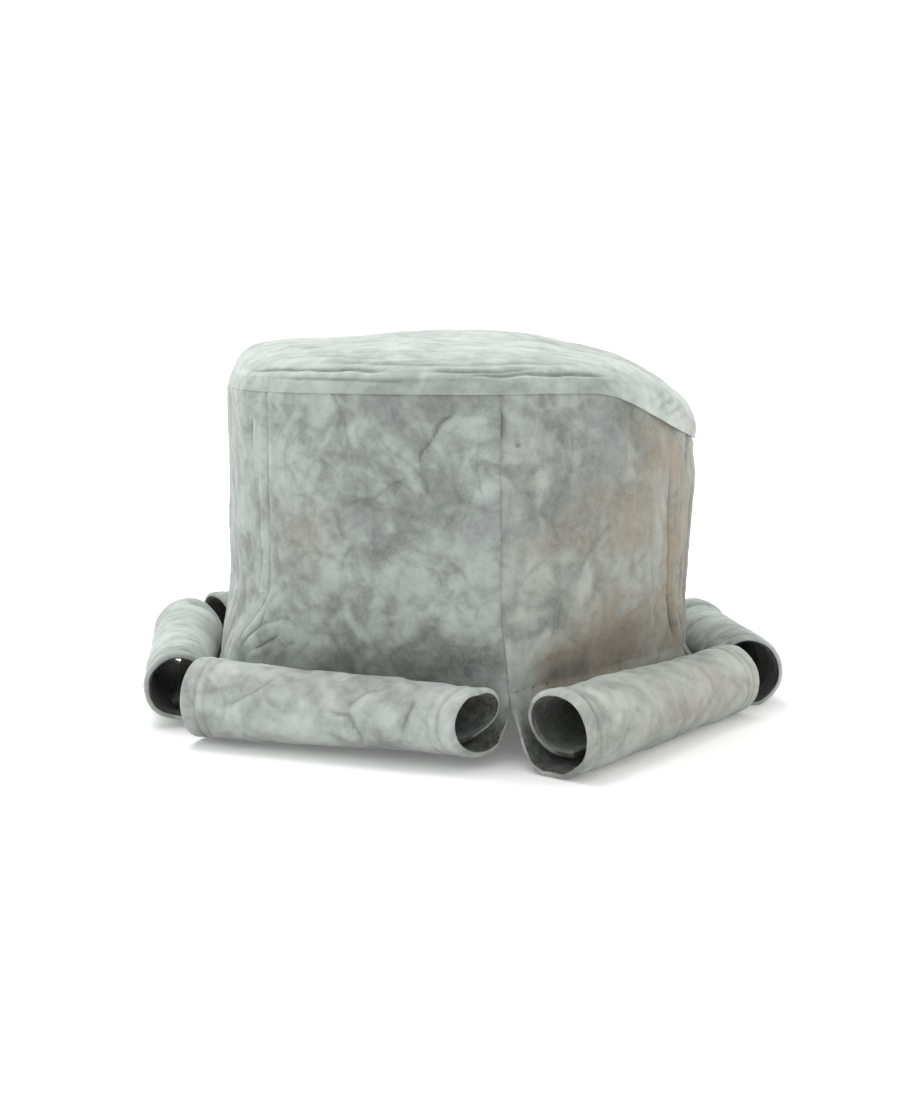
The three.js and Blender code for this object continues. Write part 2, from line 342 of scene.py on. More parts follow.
@dataclass(frozen=True)
class Crease:
    """A crease of one cloth: a bent line of (place, down) points, whose depth is below 0 for a ridge.

    Place is a share of the way across a panel, or a turn in degrees on the tip. Down, depth and width are
    millimetres. It fades over a share of its length at each end, and its ridge is given in its widths and
    its depth.
    """

    FADE = 0.25
    RIDGE_AWAY = 2.3
    RIDGE_WIDTH = 1.7
    RIDGE_HEIGHT = 0.45

    points: tuple[tuple[float, float], ...]
    depth: float
    width: float

    def relief(self, place: Array, down: Array, unit_width: Array) -> Array:
        """The crease's own relief: a bell-shaped valley with a low ridge along its upper side.

        Args:
            place: Each point's place across the cloth.
            down: Each point's metres down the cloth.
            unit_width: How many metres wide one unit of place is at each point.

        Returns:
            Metres towards the viewer, 0 far from the line and easing to 0 at its two ends.
        """
        width = self.width * MILLI
        typical = float(unit_width.mean())
        stops = [np.array([at * typical, below * MILLI]) for at, below in self.points]
        spans = [float(np.linalg.norm(b - a)) for a, b in zip(stops, stops[1:])]
        nearest = np.full(place.shape, np.inf)
        side = np.zeros(place.shape)
        share = np.zeros(place.shape)
        walked = 0.0
        for (at, below), a, b, span in zip(self.points, stops, stops[1:], spans):
            along = (b - a) / span
            x = (place - at) * unit_width
            y = down - below * MILLI
            reach = np.clip(x * along[0] + y * along[1], 0.0, span)
            miss_x = x - reach * along[0]
            miss_y = y - reach * along[1]
            distance = np.hypot(miss_x, miss_y)
            closer = distance < nearest
            nearest = np.where(closer, distance, nearest)
            side = np.where(closer, np.sign(along[0] * miss_y - along[1] * miss_x), side)
            share = np.where(closer, (walked + reach) / sum(spans), share)
            walked += span
        fade = ease(share / self.FADE) * ease((1.0 - share) / self.FADE)
        valley = bell(nearest, width)
        ridge = bell(nearest * side + self.RIDGE_AWAY * width, self.RIDGE_WIDTH * width)
        return self.depth * MILLI * fade * (self.RIDGE_HEIGHT * ridge - valley)


@dataclass(frozen=True)
class StainAndShade:
    """A soft patch of colour on one cloth: place and down as a crease has them, spreads in millimetres.

    Dusk is how dark the patch is, and below 0 how pale. Dark patches at a panel's foot above its roll,
    beside a crease and at a roll's end are painted shade; pale ones down the side edges that turn to the
    light, on the rolls' tops and on the tip's hanging corner are painted light; the rest are the hide's own
    marks. Warmth is how brown it is, and at the front right panel's foot it tints painted shade. Its edge
    wanders by a share of its strength, unless it is only a few millimetres wide.
    """

    WANDER = 0.6
    WANDER_SIZE = 13 * MILLI
    STEADY_WIDTH = 4.0
    STRONGEST = 1.3

    place: float
    down: float
    wide: float
    high: float
    dusk: float = 0.0
    warmth: float = 0.0

    def strength(self, place: Array, down: Array, unit_width: Array) -> Array:
        """A bell of the way to its middle, in spreads, whose edge wanders in and out a little."""
        x = (place - self.place) * unit_width / (self.wide * MILLI)
        y = (down - self.down * MILLI) / (self.high * MILLI)
        spot = np.stack([place * unit_width, down, np.zeros_like(down)], axis=-1)
        wander = Noise(Seed.STAINS_AND_SHADE).clouds(spot, self.WANDER_SIZE) * ease(self.wide / self.STEADY_WIDTH)
        return np.clip(bell(np.hypot(x, y), 1.0) * (1.0 + self.WANDER * wander), 0.0, self.STRONGEST)


@dataclass(frozen=True)
class Marks:
    """The creases and patches of colour of one cloth, and the way its small streaks lean, in degrees.

    A crease gets its full painted shade from the full depth on. The flap is the cloth's last stretch, which
    sags away from the roll's inside and loses a flap light share of its painted shade.
    """

    creases: tuple[Crease, ...] = ()
    stains_and_shade: tuple[StainAndShade, ...] = ()
    lean: float = 0.0
    full_depth: float = 0.6 * MILLI
    flap_sag: float = 0.6 * MILLI
    flap_light: float = 0.3

    def relief(self, place: Array, down: Array, unit_width: Array) -> tuple[Array, Array]:
        """The creases' relief added up, and how deep in a crease each point lies, from 0 to 1."""
        total = np.zeros(place.shape)
        valley = np.zeros(place.shape)
        for crease in self.creases:
            own = crease.relief(place, down, unit_width)
            total += own
            valley = np.maximum(valley, np.clip(-own / self.full_depth, 0.0, 1.0))
        return total, valley

    def tint(self, place: Array, down: Array, unit_width: Array) -> tuple[Array, Array]:
        """How dark and how warm each point is: marks in the hide, painted shade and painted light."""
        dusk = np.zeros(place.shape)
        warmth = np.zeros(place.shape)
        for stain_and_shade_spot in self.stains_and_shade:
            strength = stain_and_shade_spot.strength(place, down, unit_width)
            dusk += stain_and_shade_spot.dusk * strength
            warmth += stain_and_shade_spot.warmth * strength
        return dusk, warmth


@dataclass
class Crown:
    """The sewn crown: the named sizes and tables that the tip and all six panels follow.

    Levels are shares of the side height, from the notches up to the tip seam.
    """

    axis: tuple[float, float] = (2.74 * MILLI, -0.22 * MILLI)
    head_radius: float = 95 * MILLI
    notch_height: float = 24 * MILLI
    side_height: float = 106 * MILLI
    wall: float = 2 * MILLI
    seam_gap: float = 0.3 * MILLI
    waist_level: float = 0.3
    tip_rise: float = 15 * MILLI
    tip_squareness: float = 3.2
    roll_radius: float = 15 * MILLI
    roll_clearance: float = 1.2 * MILLI
    rest_dip: float = 0.9 * MILLI
    fold_edge: float = 0.12
    seams: tuple[Seam, ...] = (
        Seam("left_front", -58, -51, 1.08, 0.96, 0.96),
        Seam("front", 10, 9, 1.04, 0.98, 0.965),
        Seam("right_front", 81, 76, 0.95, 0.92, 0.95),
        Seam("right_back", 125, 127, 1.07, 1.0, 0.98),
        Seam("back", 186, 187, 1.04, 0.98, 0.98),
        Seam("left_back", 245, 244, 1.12, 1.03, 1.0),
    )
    cuts: tuple[PanelCut, ...] = (
        PanelCut(
            "front_left",
            (0.01, 0.1, 0.11),
            RollEnd(0.16, 0.04, 1.05, lift=0.12),
            RollEnd(0.14, -0.05, 0.87, lift=0.36, skew=0.065),
        ),
        PanelCut("front_right", (0.01, 0.11, 0.12), RollEnd(0.27, 0.07, 1.12), RollEnd(0.21, 0.03, 0.96)),
        PanelCut("right", (0.06, 0.11, 0.12), RollEnd(0.26, 0.05, 1.02), RollEnd(0.22, 0.11, 1.0)),
        PanelCut("back_right", (0.05, 0.12, 0.12), RollEnd(0.2, 0.02, 1.08), RollEnd(0.2, 0.02, 1.0)),
        PanelCut("back_left", (0.05, 0.12, 0.12), RollEnd(0.2, 0.02, 1.0), RollEnd(0.2, 0.02, 1.16)),
        PanelCut("left", (0.04, 0.13, 0.14), RollEnd(0.22, 0.1, 1.12), RollEnd(0.2, -0.05, 0.94, 0.25)),
    )
    slumps: tuple[Slump, ...] = (Slump(90, 31, drop=0.22), Slump(-75, 40, drop=0.015))
    folds: tuple[SideFold, ...] = (
        SideFold(-66, 5, 2, 0.1, 0.92, 0.6),
        SideFold(-78, 6, -3, 0.3, 1.0, -0.5),
        SideFold(-48, 6, -22, -0.1, 0.28, 0.8),
        SideFold(-20, 9, -30, 0.35, 0.9, -0.5),
        SideFold(38, 8, 10, 0.1, 0.7, -0.5),
        SideFold(66, 5, 0, 0.1, 0.85, -0.6),
        SideFold(86, 6, 0, 0.05, 0.8, 0.6),
        SideFold(150, 9, 14, 0.1, 0.8, -0.6),
        SideFold(215, 9, -18, 0.2, 0.9, -0.5),
    )

    def by_level(self, level: Array, foot: float, waist: float, shoulder: float) -> Array:
        """A value easing from its foot to its waist, and on to its shoulder, as the level rises to 1."""
        low = lerp(foot, waist, ease(level / self.waist_level))
        high = lerp(waist, shoulder, ease((level - self.waist_level) / (1.0 - self.waist_level)))
        return np.where(level < self.waist_level, low, high)

    def rim_height(self, turn: Array) -> Array:
        """The height of the tip seam: the side height less each slump's bell round its turn."""
        sunk = sum(dip.drop * bell(turn_between(turn, dip.turn), dip.spread) for dip in self.slumps)
        return self.notch_height + self.side_height * (1.0 - sunk)

    def seam_point(self, seam: Seam, level: Array) -> Array:
        """Where a seam runs in plan at a level."""
        turn = self.by_level(level, seam.foot_turn, seam.turn, seam.turn)
        return polar(turn, self.head_radius * self.by_level(level, seam.foot, seam.waist, seam.shoulder))

    def fold_depth(self, turn: Array, level: Array) -> Array:
        """How far the upright folds push the cloth out: each a bell across a leaning line."""
        total = np.zeros(np.broadcast(turn, level).shape)
        for fold in self.folds:
            middle = fold.turn + fold.lean * (level - fold.start)
            inside = fade_between(level, fold.start, fold.stop, self.fold_edge)
            total += fold.depth * self.wall * bell(turn_between(turn, middle), fold.width) * inside
        return total

    def feet(self, index: int, level: Array) -> tuple[Array, Array]:
        """The plan points of a panel's two seams at a level."""
        following = self.seams[(index + 1) % len(self.seams)]
        return self.seam_point(self.seams[index], level), self.seam_point(following, level)

    def side_point(self, index: int, across: Array, level: Array) -> Array:
        """The outer face of a panel's side.

        Each level is an arch 4a(1-a) high, laid over the straight line between the two seams, pushed
        out by the upright folds. The height goes straight from the notches to the tip seam.

        Args:
            index: The panel's place in the table of cuts.
            across: Shares of the way across, one for each grid point.
            level: Shares of the side height, one for each grid point.

        Returns:
            A grid of points about the crown's axis.
        """
        first, last = self.feet(index, level)
        chord = last - first
        outward = unit(np.stack([chord[..., 1], -chord[..., 0]], axis=-1))
        bulge = self.head_radius * self.by_level(level, *self.cuts[index].bulge)
        plan = first + chord * across[..., None]
        plan = plan + outward * (bulge * 4.0 * across * (1.0 - across))[..., None]
        turn = turn_of(plan)
        plan = plan + polar(turn, self.fold_depth(turn, level))
        height = lerp(self.notch_height, self.rim_height(turn), level)
        return np.concatenate([plan, height[..., None]], axis=-1)


@dataclass
class Mesh:
    """A closed mesh under construction: points, faces of four, and values named for its material."""

    points: Array
    quads: Array
    values: dict[str, Array] = field(default_factory=dict)

    def make(self, name: str) -> bpy.types.Object:
        """Puts the arrays into a new object.

        Args:
            name: The object's name.

        Returns:
            The object, at the origin, smooth, with one attribute for each named value.
        """
        mesh = bpy.data.meshes.new(name)
        mesh.vertices.add(len(self.points))
        mesh.vertices.foreach_set("co", self.points.astype(np.float32).ravel())
        mesh.loops.add(self.quads.size)
        mesh.loops.foreach_set("vertex_index", self.quads.astype(np.int32).ravel())
        mesh.polygons.add(len(self.quads))
        mesh.polygons.foreach_set("loop_start", np.arange(0, self.quads.size, 4, dtype=np.int32))
        mesh.update(calc_edges=True)
        mesh.shade_smooth()
        for key, value in self.values.items():
            layer = mesh.attributes.new(key, "FLOAT", "POINT")
            layer.data.foreach_set("value", value.astype(np.float32).ravel())
        piece = bpy.data.objects.new(name, mesh)
        bpy.context.scene.collection.objects.link(piece)
        return piece


def wall_quads(columns: int, rows: int, round_about: bool = False) -> Array:
    """The faces of a closed wall between an outer and an inner grid of points.

    Args:
        columns: Points across each grid.
        rows: Points down each grid.
        round_about: Whether the last column joins the first one, which leaves no side edges.

    Returns:
        Faces of four corners, pointing out of the wall.
    """
    number = np.arange(columns * rows).reshape(columns, rows)
    if round_about:
        number = np.concatenate([number, number[:1]])
    inner = number + columns * rows
    quads = [
        np.stack([number[:-1, :-1], number[:-1, 1:], number[1:, 1:], number[1:, :-1]], -1),
        np.stack([inner[:-1, :-1], inner[1:, :-1], inner[1:, 1:], inner[:-1, 1:]], -1),
        np.stack([number[1:, 0], inner[1:, 0], inner[:-1, 0], number[:-1, 0]], -1),
        np.stack([number[:-1, -1], inner[:-1, -1], inner[1:, -1], number[1:, -1]], -1),
    ]
    if not round_about:
        quads.append(np.stack([number[0, :-1], inner[0, :-1], inner[0, 1:], number[0, 1:]], -1))
        quads.append(np.stack([number[-1, 1:], inner[-1, 1:], inner[-1, :-1], number[-1, :-1]], -1))
    return np.concatenate([block.reshape(-1, 4) for block in quads])


def turned_along(normals: Array, ways: Array) -> Array:
    """The normals, each turned round where it points against its way."""
    return normals * np.sign((normals * ways).sum(-1, keepdims=True))


def area_of(points: Array) -> float:
    """The area of a grid of points: its cells' sides crossed and added up."""
    along = np.diff(points, axis=0)[:, :-1]
    beside = np.diff(points, axis=1)[:-1]
    return float(np.linalg.norm(np.cross(along, beside), axis=-1).sum())


@dataclass(frozen=True)
class Layers:
    """A share of each layer of a cloth's relief."""

    folds: float
    streaks: float
    crumples: float
    fine: float = 0.0

    def total(self, layers: dict[str, Array]) -> Array:
        """The named layers added up, each by its share."""
        return sum(getattr(self, key) * layer for key, layer in layers.items())


@dataclass(frozen=True)
class Ridge:
    """A low ridge along an edge: how far in it runs, how wide it spreads and how high it is, in mm."""

    away: float
    spread: float
    height: float

    def relief(self, distance: Array) -> Array:
        """Metres towards the viewer: a bell across the ridge's line."""
        return self.height * MILLI * bell(distance - self.away * MILLI, self.spread * MILLI)


class Cloth:
    """What the panels and the tip share. Its flat size and area are known once it is built."""

    FOLD_SIZE = 36 * MILLI
    WARP_SIZE = 9 * MILLI
    flat: tuple[float, float]
    area: float

    def warp(self, points: Array) -> tuple[Array, Array]:
        """How far creases wander across and down at each point, from about -1 to 1."""
        spot = points / self.WARP_SIZE
        return Noise(Seed.WARP_ACROSS).at(spot), Noise(Seed.WARP_DOWN).at(spot)

    def close(
        self,
        faces: tuple[Array, Array],
        painted_crease_shade: Array,
        raised: Array,
        dusks: tuple[Array, Array],
        warmth: Array,
        round_about: bool = False,
    ) -> bpy.types.Object:
        """Joins the cloth's two faces into one closed wall and makes its mesh.

        Args:
            faces: The outer and the inner face, as grids of points about the crown's axis.
            painted_crease_shade: How deep in a crease, a seam or a groove each point lies: painted shade.
            raised: How high on a fold each point lies, from about -1 to 1: painted highlight and shade.
            dusks: Each face's dusk: the hide's marks, painted shade and painted light.
            warmth: How warm each point is.
            round_about: Whether the last column joins the first one.

        Returns:
            The finished piece, without its material.
        """
        points = np.concatenate([face.reshape(-1, 3) for face in faces])
        points[:, :2] += self.crown.axis
        painted_crease_shade = np.clip(painted_crease_shade, 0.0, 1.0)
        high = np.clip(raised + 0.5, 0.0, 1.0)
        pairs = {
            "crease": (painted_crease_shade, painted_crease_shade),
            "raised": (high, high),
            "dusk": dusks,
            "warmth": (warmth, warmth),
            "underside": (np.zeros_like(painted_crease_shade), np.ones_like(painted_crease_shade)),
        }
        values = {key: np.concatenate([grid.ravel() for grid in pair]) for key, pair in pairs.items()}
        quads = wall_quads(*painted_crease_shade.shape, round_about)
        return Mesh(points, quads, values).make(f"{self.name}_hide")


@dataclass
class Layout:
    """Where the points of a grid lie on the flat cloth, in metres but for the first and the last.

    Across is the share of the way from the left seam to the right one, and petal is 0 on the crown and 1 on
    the petal. Edge and free are how far in from the side edges and from the free edge a point lies.
    """

    across: Array
    down: Array
    width: Array
    edge: Array
    free: Array
    petal: Array


@dataclass
class Panel(Cloth):
    """One panel with its petal: a single cloth from the tip seam down to the free edge inside its roll.

    The roll's turns are degrees round it from its outer side, counted over its top. Pulls are shares of the
    drop that the handles of its curve take. Between the tuck turns the cloth is drawn in at its side edges
    by the tuck, and past the covered share of that way it gets painted shade. A shade is a share of a full
    crease's painted shade, and low shade darkens the petal towards the floor as painted shade.
    Pressed is the lowest height of the face that lies on the floor's side, in walls.
    """

    crown: Crown
    index: int
    marks: Marks = Marks()
    join_turn: float = 235.0
    end_turn: float = 650.0
    leave_pull: float = 0.12
    join_pull: float = 0.55
    cloth_width: float = 96 * MILLI
    roll_length: float = 100 * MILLI
    grid_step: float = 1.1 * MILLI
    rim_zones: tuple[tuple[float, float], ...] = ((0.8 * MILLI, 0.2 * MILLI), (11 * MILLI, 0.6 * MILLI))
    drop_rows: int = 18
    petal_pace: float = 1.2
    heights: Layers = Layers(folds=0.8, streaks=0.3, crumples=0.42, fine=0.14)
    painted_fold_shading: Layers = Layers(folds=0.3, streaks=0.28, crumples=0.2, fine=0.22)
    bend: float = 3 * MILLI
    bend_size: float = 22 * MILLI
    streak_size: tuple[float, float] = (4.5 * MILLI, 20 * MILLI)
    fine_size: tuple[float, float] = (3.2 * MILLI, 11 * MILLI)
    fine_lean: float = 70.0
    warp_by: float = MILLI
    pucker: Ridge = Ridge(away=2.5, spread=3.0, height=0.3)
    pucker_size: tuple[float, float, float] = (9 * MILLI, 9 * MILLI, 3.4 * MILLI)
    side_ridge: Ridge = Ridge(away=3.2, spread=1.7, height=0.2)
    top_ridge: Ridge = Ridge(away=2.6, spread=1.5, height=0.15)
    crushed_shade: float = 0.75
    seam_shade: float = 0.5
    hem_width: float = 9.6 * MILLI
    hem_extra: float = 0.45 * MILLI
    hem_inwards: float = 0.3
    stitch_line: float = 6 * MILLI
    groove_width: float = 0.7 * MILLI
    groove_depth: float = 0.75 * MILLI
    turned_share: float = 0.5
    groove_shade: float = 0.6
    seam_dip: float = 0.65 * MILLI
    seam_spread: float = 0.85 * MILLI
    top_dip: float = 0.4 * MILLI
    calm: float = 3 * MILLI
    edge_spread: float = 1.2 * MILLI
    flap_turns: tuple[float, float] = (520.0, 650.0)
    flap_length: float = 26 * MILLI
    tuck: float = 8 * MILLI
    tuck_turns: tuple[float, float] = (450.0, 620.0)
    covered: float = 0.9
    rim_shade: float = 0.6
    pressed: float = 0.8
    low_shade: float = 0.33
    low_shade_height: float = 20 * MILLI

    @property
    def name(self) -> str:
        """The CAD node that this cloth stands for."""
        return f"panel_{self.crown.cuts[self.index].name}"

    def section(self, start: Array, radius: Array, floor: Array) -> tuple[Array, Array, Array, Array, Array]:
        """The petal's section in its own upright plane, x outwards and y up from the roll's middle.

        A Bezier curve drops from the notch line to the roll's inner side. From there a spiral passes
        under the roll and winds up over it, closer by the wall and the clearance at each whole turn, and
        its last stretch, the flap, sags inwards.

        Args:
            start: Where each column starts, on the inner face at the notch line.
            radius: The roll's radius at each column.
            floor: The height of the floor below the roll's middle at each column.

        Returns:
            The face that shows on the roll and the face within it, as (column, row, 2) grids. Then for
            each row how far it has dropped, from 0 to 1, how far it is tucked into the roll, from 0 to 1,
            and how far inwards it faces, from -1 to 1.
        """
        crown = self.crown
        pitch = crown.wall + crown.roll_clearance
        share = 1.0 - steps_inwards(self.roll_length, self.rim_zones, self.grid_step)[::-1]
        turns = lerp(self.join_turn, self.end_turn, share)

        def spiral(turn: Array) -> Array:
            """Points of the spiral at each turn, for each column."""
            first, last = self.flap_turns
            sag = self.marks.flap_sag * ease((turn - first) / (last - first))
            distance = radius[:, None] - pitch * (turn - self.join_turn) / FULL_TURN - sag
            angle = np.radians(turn)
            return distance[..., None] * np.stack([np.cos(angle), np.sin(angle)], axis=-1)

        join, ahead = np.moveaxis(spiral(np.array([self.join_turn, self.join_turn + 1.0])), 1, 0)
        heading = unit(ahead - join)
        pull = np.linalg.norm(start - join, axis=-1, keepdims=True) / 2
        leave = start - pull * self.leave_pull * np.array([0.0, 1.0])
        arrive = join - heading * pull * self.join_pull
        t = np.linspace(0.0, 1.0, self.drop_rows)[None, :, None]
        corners = [point[:, None, :] for point in (start, leave, arrive, join)]
        weights = ((1 - t) ** 3, 3 * t * (1 - t) ** 2, 3 * t * t * (1 - t), t**3)
        drop = sum(weight * corner for weight, corner in zip(weights, corners))
        face = np.concatenate([drop, spiral(turns[1:])], axis=1)
        heading = unit(np.gradient(face, axis=1))
        back = face - crown.wall * np.stack([heading[..., 1], -heading[..., 0]], axis=-1)
        face[..., 1] = np.maximum(face[..., 1], floor[:, None])
        back[..., 1] = np.maximum(back[..., 1], floor[:, None] + crown.wall)
        dropped = np.concatenate([t[0, :, 0], np.ones(len(turns) - 1)])
        first, last = self.tuck_turns
        tucked = np.concatenate([np.zeros(self.drop_rows), ease((turns[1:] - first) / (last - first))])
        inside = np.concatenate([-t[0, :, 0] * np.cos(np.radians(turns[0])), -np.cos(np.radians(turns[1:]))])
        return face, back, dropped, tucked, inside

    def surfaces(self) -> tuple[Array, Array, Array, Array, Array]:
        """The plain cloth, before its creases and hems.

        Returns:
            The face that looks out on the crown and the one that looks in, as (column, row, 3) grids,
            the columns' shares across, and how far each row has dropped into the petal and is tucked in.
        """
        crown = self.crown
        cut = crown.cuts[self.index]
        half = steps_inwards(self.cloth_width / 2, self.rim_zones, self.grid_step) / 2
        share = np.concatenate([half, 1.0 - half[-2::-1]])
        rows = steps_inwards(crown.side_height, self.rim_zones, self.grid_step)[:-1]
        first, last = crown.feet(self.index, np.array(1.0))
        margin = crown.seam_gap / 2 / np.linalg.norm(last - first)
        across = lerp(margin, 1.0 - margin, share)
        grid_across, level = np.meshgrid(across, 1.0 - rows, indexing="ij")
        side = crown.side_point(self.index, grid_across, level)
        radial = polar(turn_of(side), 1.0)
        side_in = side.copy()
        side_in[..., :2] -= radial * crown.wall

        foot = crown.side_point(self.index, across, np.zeros_like(across))
        first, last = crown.feet(self.index, np.array(0.0))
        chord = unit(last - first)
        out = np.array([chord[1], -chord[0]])
        ends = [
            first + (out * cut.start.reach - chord * cut.start.flare) * crown.head_radius,
            last + (out * cut.end.reach + chord * cut.end.flare) * crown.head_radius,
        ]
        axis = unit(ends[1] - ends[0])
        outward = np.array([axis[1], -axis[0]])
        radius = crown.roll_radius * lerp(cut.start.radius, cut.end.radius, share)
        lift = crown.roll_radius * lerp(cut.start.lift, cut.end.lift, share)
        middle = ends[0] + (ends[1] - ends[0]) * share[:, None]
        height = radius - crown.rest_dip + lift
        head = foot[:, :2] - middle
        start = np.stack([head @ outward - crown.wall, foot[:, 2] - height], axis=-1)
        face, back, dropped, tucked, inside = self.section(start, radius, -height)
        skew = crown.head_radius * (cut.end.skew * share**3 - cut.start.skew * (1.0 - share) ** 3)
        shift = (head @ axis)[:, None] * (1.0 - ease(dropped) ** 2) + skew[:, None] * inside
        shift = shift + self.tuck * (1.0 - 2.0 * share)[:, None] * tucked
        sideways = shift[..., None] * axis

        def placed(points: Array) -> Array:
            """Section points in their places round the hat."""
            plan = middle[:, None, :] + sideways + points[..., :1] * outward
            return np.concatenate([plan, points[..., 1:] + height[:, None, None]], axis=-1)

        petal_out = placed(back)
        petal_in = placed(face)
        mitre = (outward - polar(turn_of(foot), 1.0))[:, None, :] * (1.0 - ease(dropped))[None, :, None]
        petal_in[..., :2] += mitre * crown.wall
        outer = np.concatenate([side, petal_out], axis=1)
        inner = np.concatenate([side_in, petal_in], axis=1)
        above = np.zeros(len(rows))
        return outer, inner, share, np.concatenate([above, dropped]), np.concatenate([above, tucked])

    def lay_out(self, middle: Array, share: Array, dropped: Array) -> Layout:
        """Where each point of the wall's middle lies on the flat cloth."""
        left = lengths_along(middle, 0)
        width = left[-1:] + np.zeros_like(left)
        down = lengths_along(middle, 1).mean(0)[None, :] + np.zeros_like(left)
        return Layout(
            across=share[:, None] + np.zeros_like(left),
            down=down,
            width=width,
            edge=np.minimum(left, width - left),
            free=down[:, -1:] - down,
            petal=ease(dropped * self.petal_pace)[None, :] + np.zeros_like(left),
        )

    def relief(self, middle: Array, cloth: Layout) -> tuple[Array, Array, Array]:
        """The cloth's relief: broad folds, drawn-out streaks, crumples, its own creases, and its seams.

        Args:
            middle: The grid of points in the middle of the wall.
            cloth: Where they lie on the cloth.

        Returns:
            Metres towards the viewer, how deep in a crease each point lies, for its painted shade, and how
            high on a fold it lies, from about -1 to 1, for the folds' painted highlight and shade.
        """
        lean = self.marks.lean
        down = cloth.down
        x = (cloth.across - 0.5) * cloth.width
        bent = x + self.bend * Noise(Seed.BEND).at(middle / self.bend_size)
        crumples, crushed = Noise(Seed.CRUMPLES).crumples(x, down, lean, Seed.PANEL_WAVES + self.index)
        layers = {
            "folds": Noise(Seed.FOLDS).clouds(middle, self.FOLD_SIZE),
            "streaks": Noise(Seed.STREAKS).streaks(bent, down, lean, *self.streak_size),
            "fine": Noise(Seed.FINE_STREAKS).streaks(bent, down, lean - self.fine_lean, *self.fine_size),
            "crumples": crumples,
        }
        warp_x, warp_y = (self.warp_by * warp for warp in self.warp(middle))
        own, valley = self.marks.relief(cloth.across + warp_x / cloth.width, down + warp_y, cloth.width)
        relief = MILLI * self.heights.total(layers) * ease(cloth.edge / self.calm + cloth.petal)
        relief = (relief + own) * ease(down / self.calm)
        crown_share = 1.0 - cloth.petal
        pucker = Noise(Seed.PUCKER).at(middle / np.array(self.pucker_size)) * self.pucker.relief(cloth.edge)
        relief += crown_share * (pucker + self.side_ridge.relief(cloth.edge) + self.top_ridge.relief(down))
        seam = bell(cloth.edge, self.seam_spread)
        relief -= crown_share * np.maximum(self.seam_dip * seam, self.top_dip * bell(down, self.edge_spread))
        # Painted shade: crushed creases and the seams get their share of a crease's darkening.
        valley = np.maximum(valley, self.crushed_shade * crushed)
        valley = np.maximum(valley, self.seam_shade * seam * crown_share)
        return relief, valley, self.painted_fold_shading.total(layers)

    def hem(self, cloth: Layout) -> tuple[Array, Array]:
        """The petal's hem: a second layer of cloth along its edges, sewn down in two grooves.

        Returns:
            The wall's thickness, rounded off at its edges, and how deep in a groove each point lies.
        """
        inwards = np.minimum(cloth.edge, cloth.free)
        sewn = bell(inwards - self.stitch_line, self.groove_width)
        turned = bell(inwards - self.hem_width, self.groove_width)
        grooves = np.clip(sewn + self.turned_share * turned, 0.0, 1.0) * cloth.petal
        layer = ease((self.hem_width - inwards) / self.groove_width + 0.5) * cloth.petal
        thickness = self.crown.wall + self.hem_extra * layer - self.groove_depth * grooves
        round_off = np.clip(inwards / (thickness / 2), 0.0, 1.0)
        rounded = np.sqrt(np.clip(1.0 - (1.0 - round_off) ** 2, 0.02, 1.0))
        return thickness * lerp(1.0, rounded, cloth.petal), grooves

    def build(self) -> bpy.types.Object:
        """Creases and hems the plain cloth and makes its closed mesh.

        The middle of the wall moves along its normal by the relief, which counts towards the viewer:
        outwards on the crown, and out of the roll on the petal. Half the thickness goes to each side.

        Returns:
            The finished piece, without its material.
        """
        wall = self.crown.wall
        outer, inner, share, dropped, tucked = self.surfaces()
        middle = (outer + inner) / 2
        cloth = self.lay_out(middle, share, dropped)
        relief, valley, raised = self.relief(middle, cloth)
        thickness, grooves = self.hem(cloth)
        outwards = outer - inner
        normal = turned_along(normals_of(middle), outwards)
        extra = self.hem_inwards * (thickness - wall) * cloth.petal
        moved = middle + normal * (relief * (1.0 - 2.0 * cloth.petal) - extra)[..., None]
        half = turned_along(normals_of(moved), outwards) * (thickness / 2)[..., None]
        faces = (moved + half, moved - half)
        for face, lowest in zip(faces, (self.pressed * wall, 0.0)):
            face[..., 2] = np.maximum(face[..., 2], lowest)

        dusk, warmth = self.marks.tint(cloth.across, cloth.down, cloth.width)
        # Painted shade inside the roll: the face within it goes dark, less so on the flap that sags away.
        flap = ease(1.0 - cloth.free / self.flap_length)
        within = cloth.petal * (1.0 - self.marks.flap_light * flap)
        # Painted shade: the face that shows on the petal darkens towards the floor.
        painted_low_shade = self.low_shade * cloth.petal * ease(1.0 - moved[..., 2] / self.low_shade_height)
        # Painted shade deep in the roll: the tucked cloth goes dark past the covered share, and at its edges.
        covered = ease((tucked - self.covered) / (1.0 - self.covered))[None, :]
        covered = np.maximum(covered, self.rim_shade * tucked * bell(cloth.edge, self.edge_spread))
        dusks = (np.maximum(dusk, within), np.maximum(dusk + painted_low_shade, covered))
        self.flat = (float(cloth.width.max()), float(cloth.down.max()))
        self.area = area_of(moved)
        # Creases, seams and hem grooves get painted shade; folds get painted highlight and shade.
        return self.close(faces, valley + self.groove_shade * grooves, raised, dusks, warmth)


@dataclass(frozen=True)
class Swell:
    """A soft bulge of the tip: its turn and width in degrees, and its down, height and rise in mm."""

    turn: float
    wide: float
    down: float
    high: float
    rise: float

    def relief(self, turns: Array, down: Array) -> Array:
        """Metres outwards: a bell round its turn times a bell down the cloth."""
        across = bell(turn_between(turns, self.turn), self.wide)
        return self.rise * MILLI * across * bell(down - self.down * MILLI, self.high * MILLI)


@dataclass(frozen=True)
class Hump:
    """A rise of the tip's dome: place and spread as shares of the head radius, and rise as one of its own."""

    x: float
    y: float
    spread: float
    rise: float


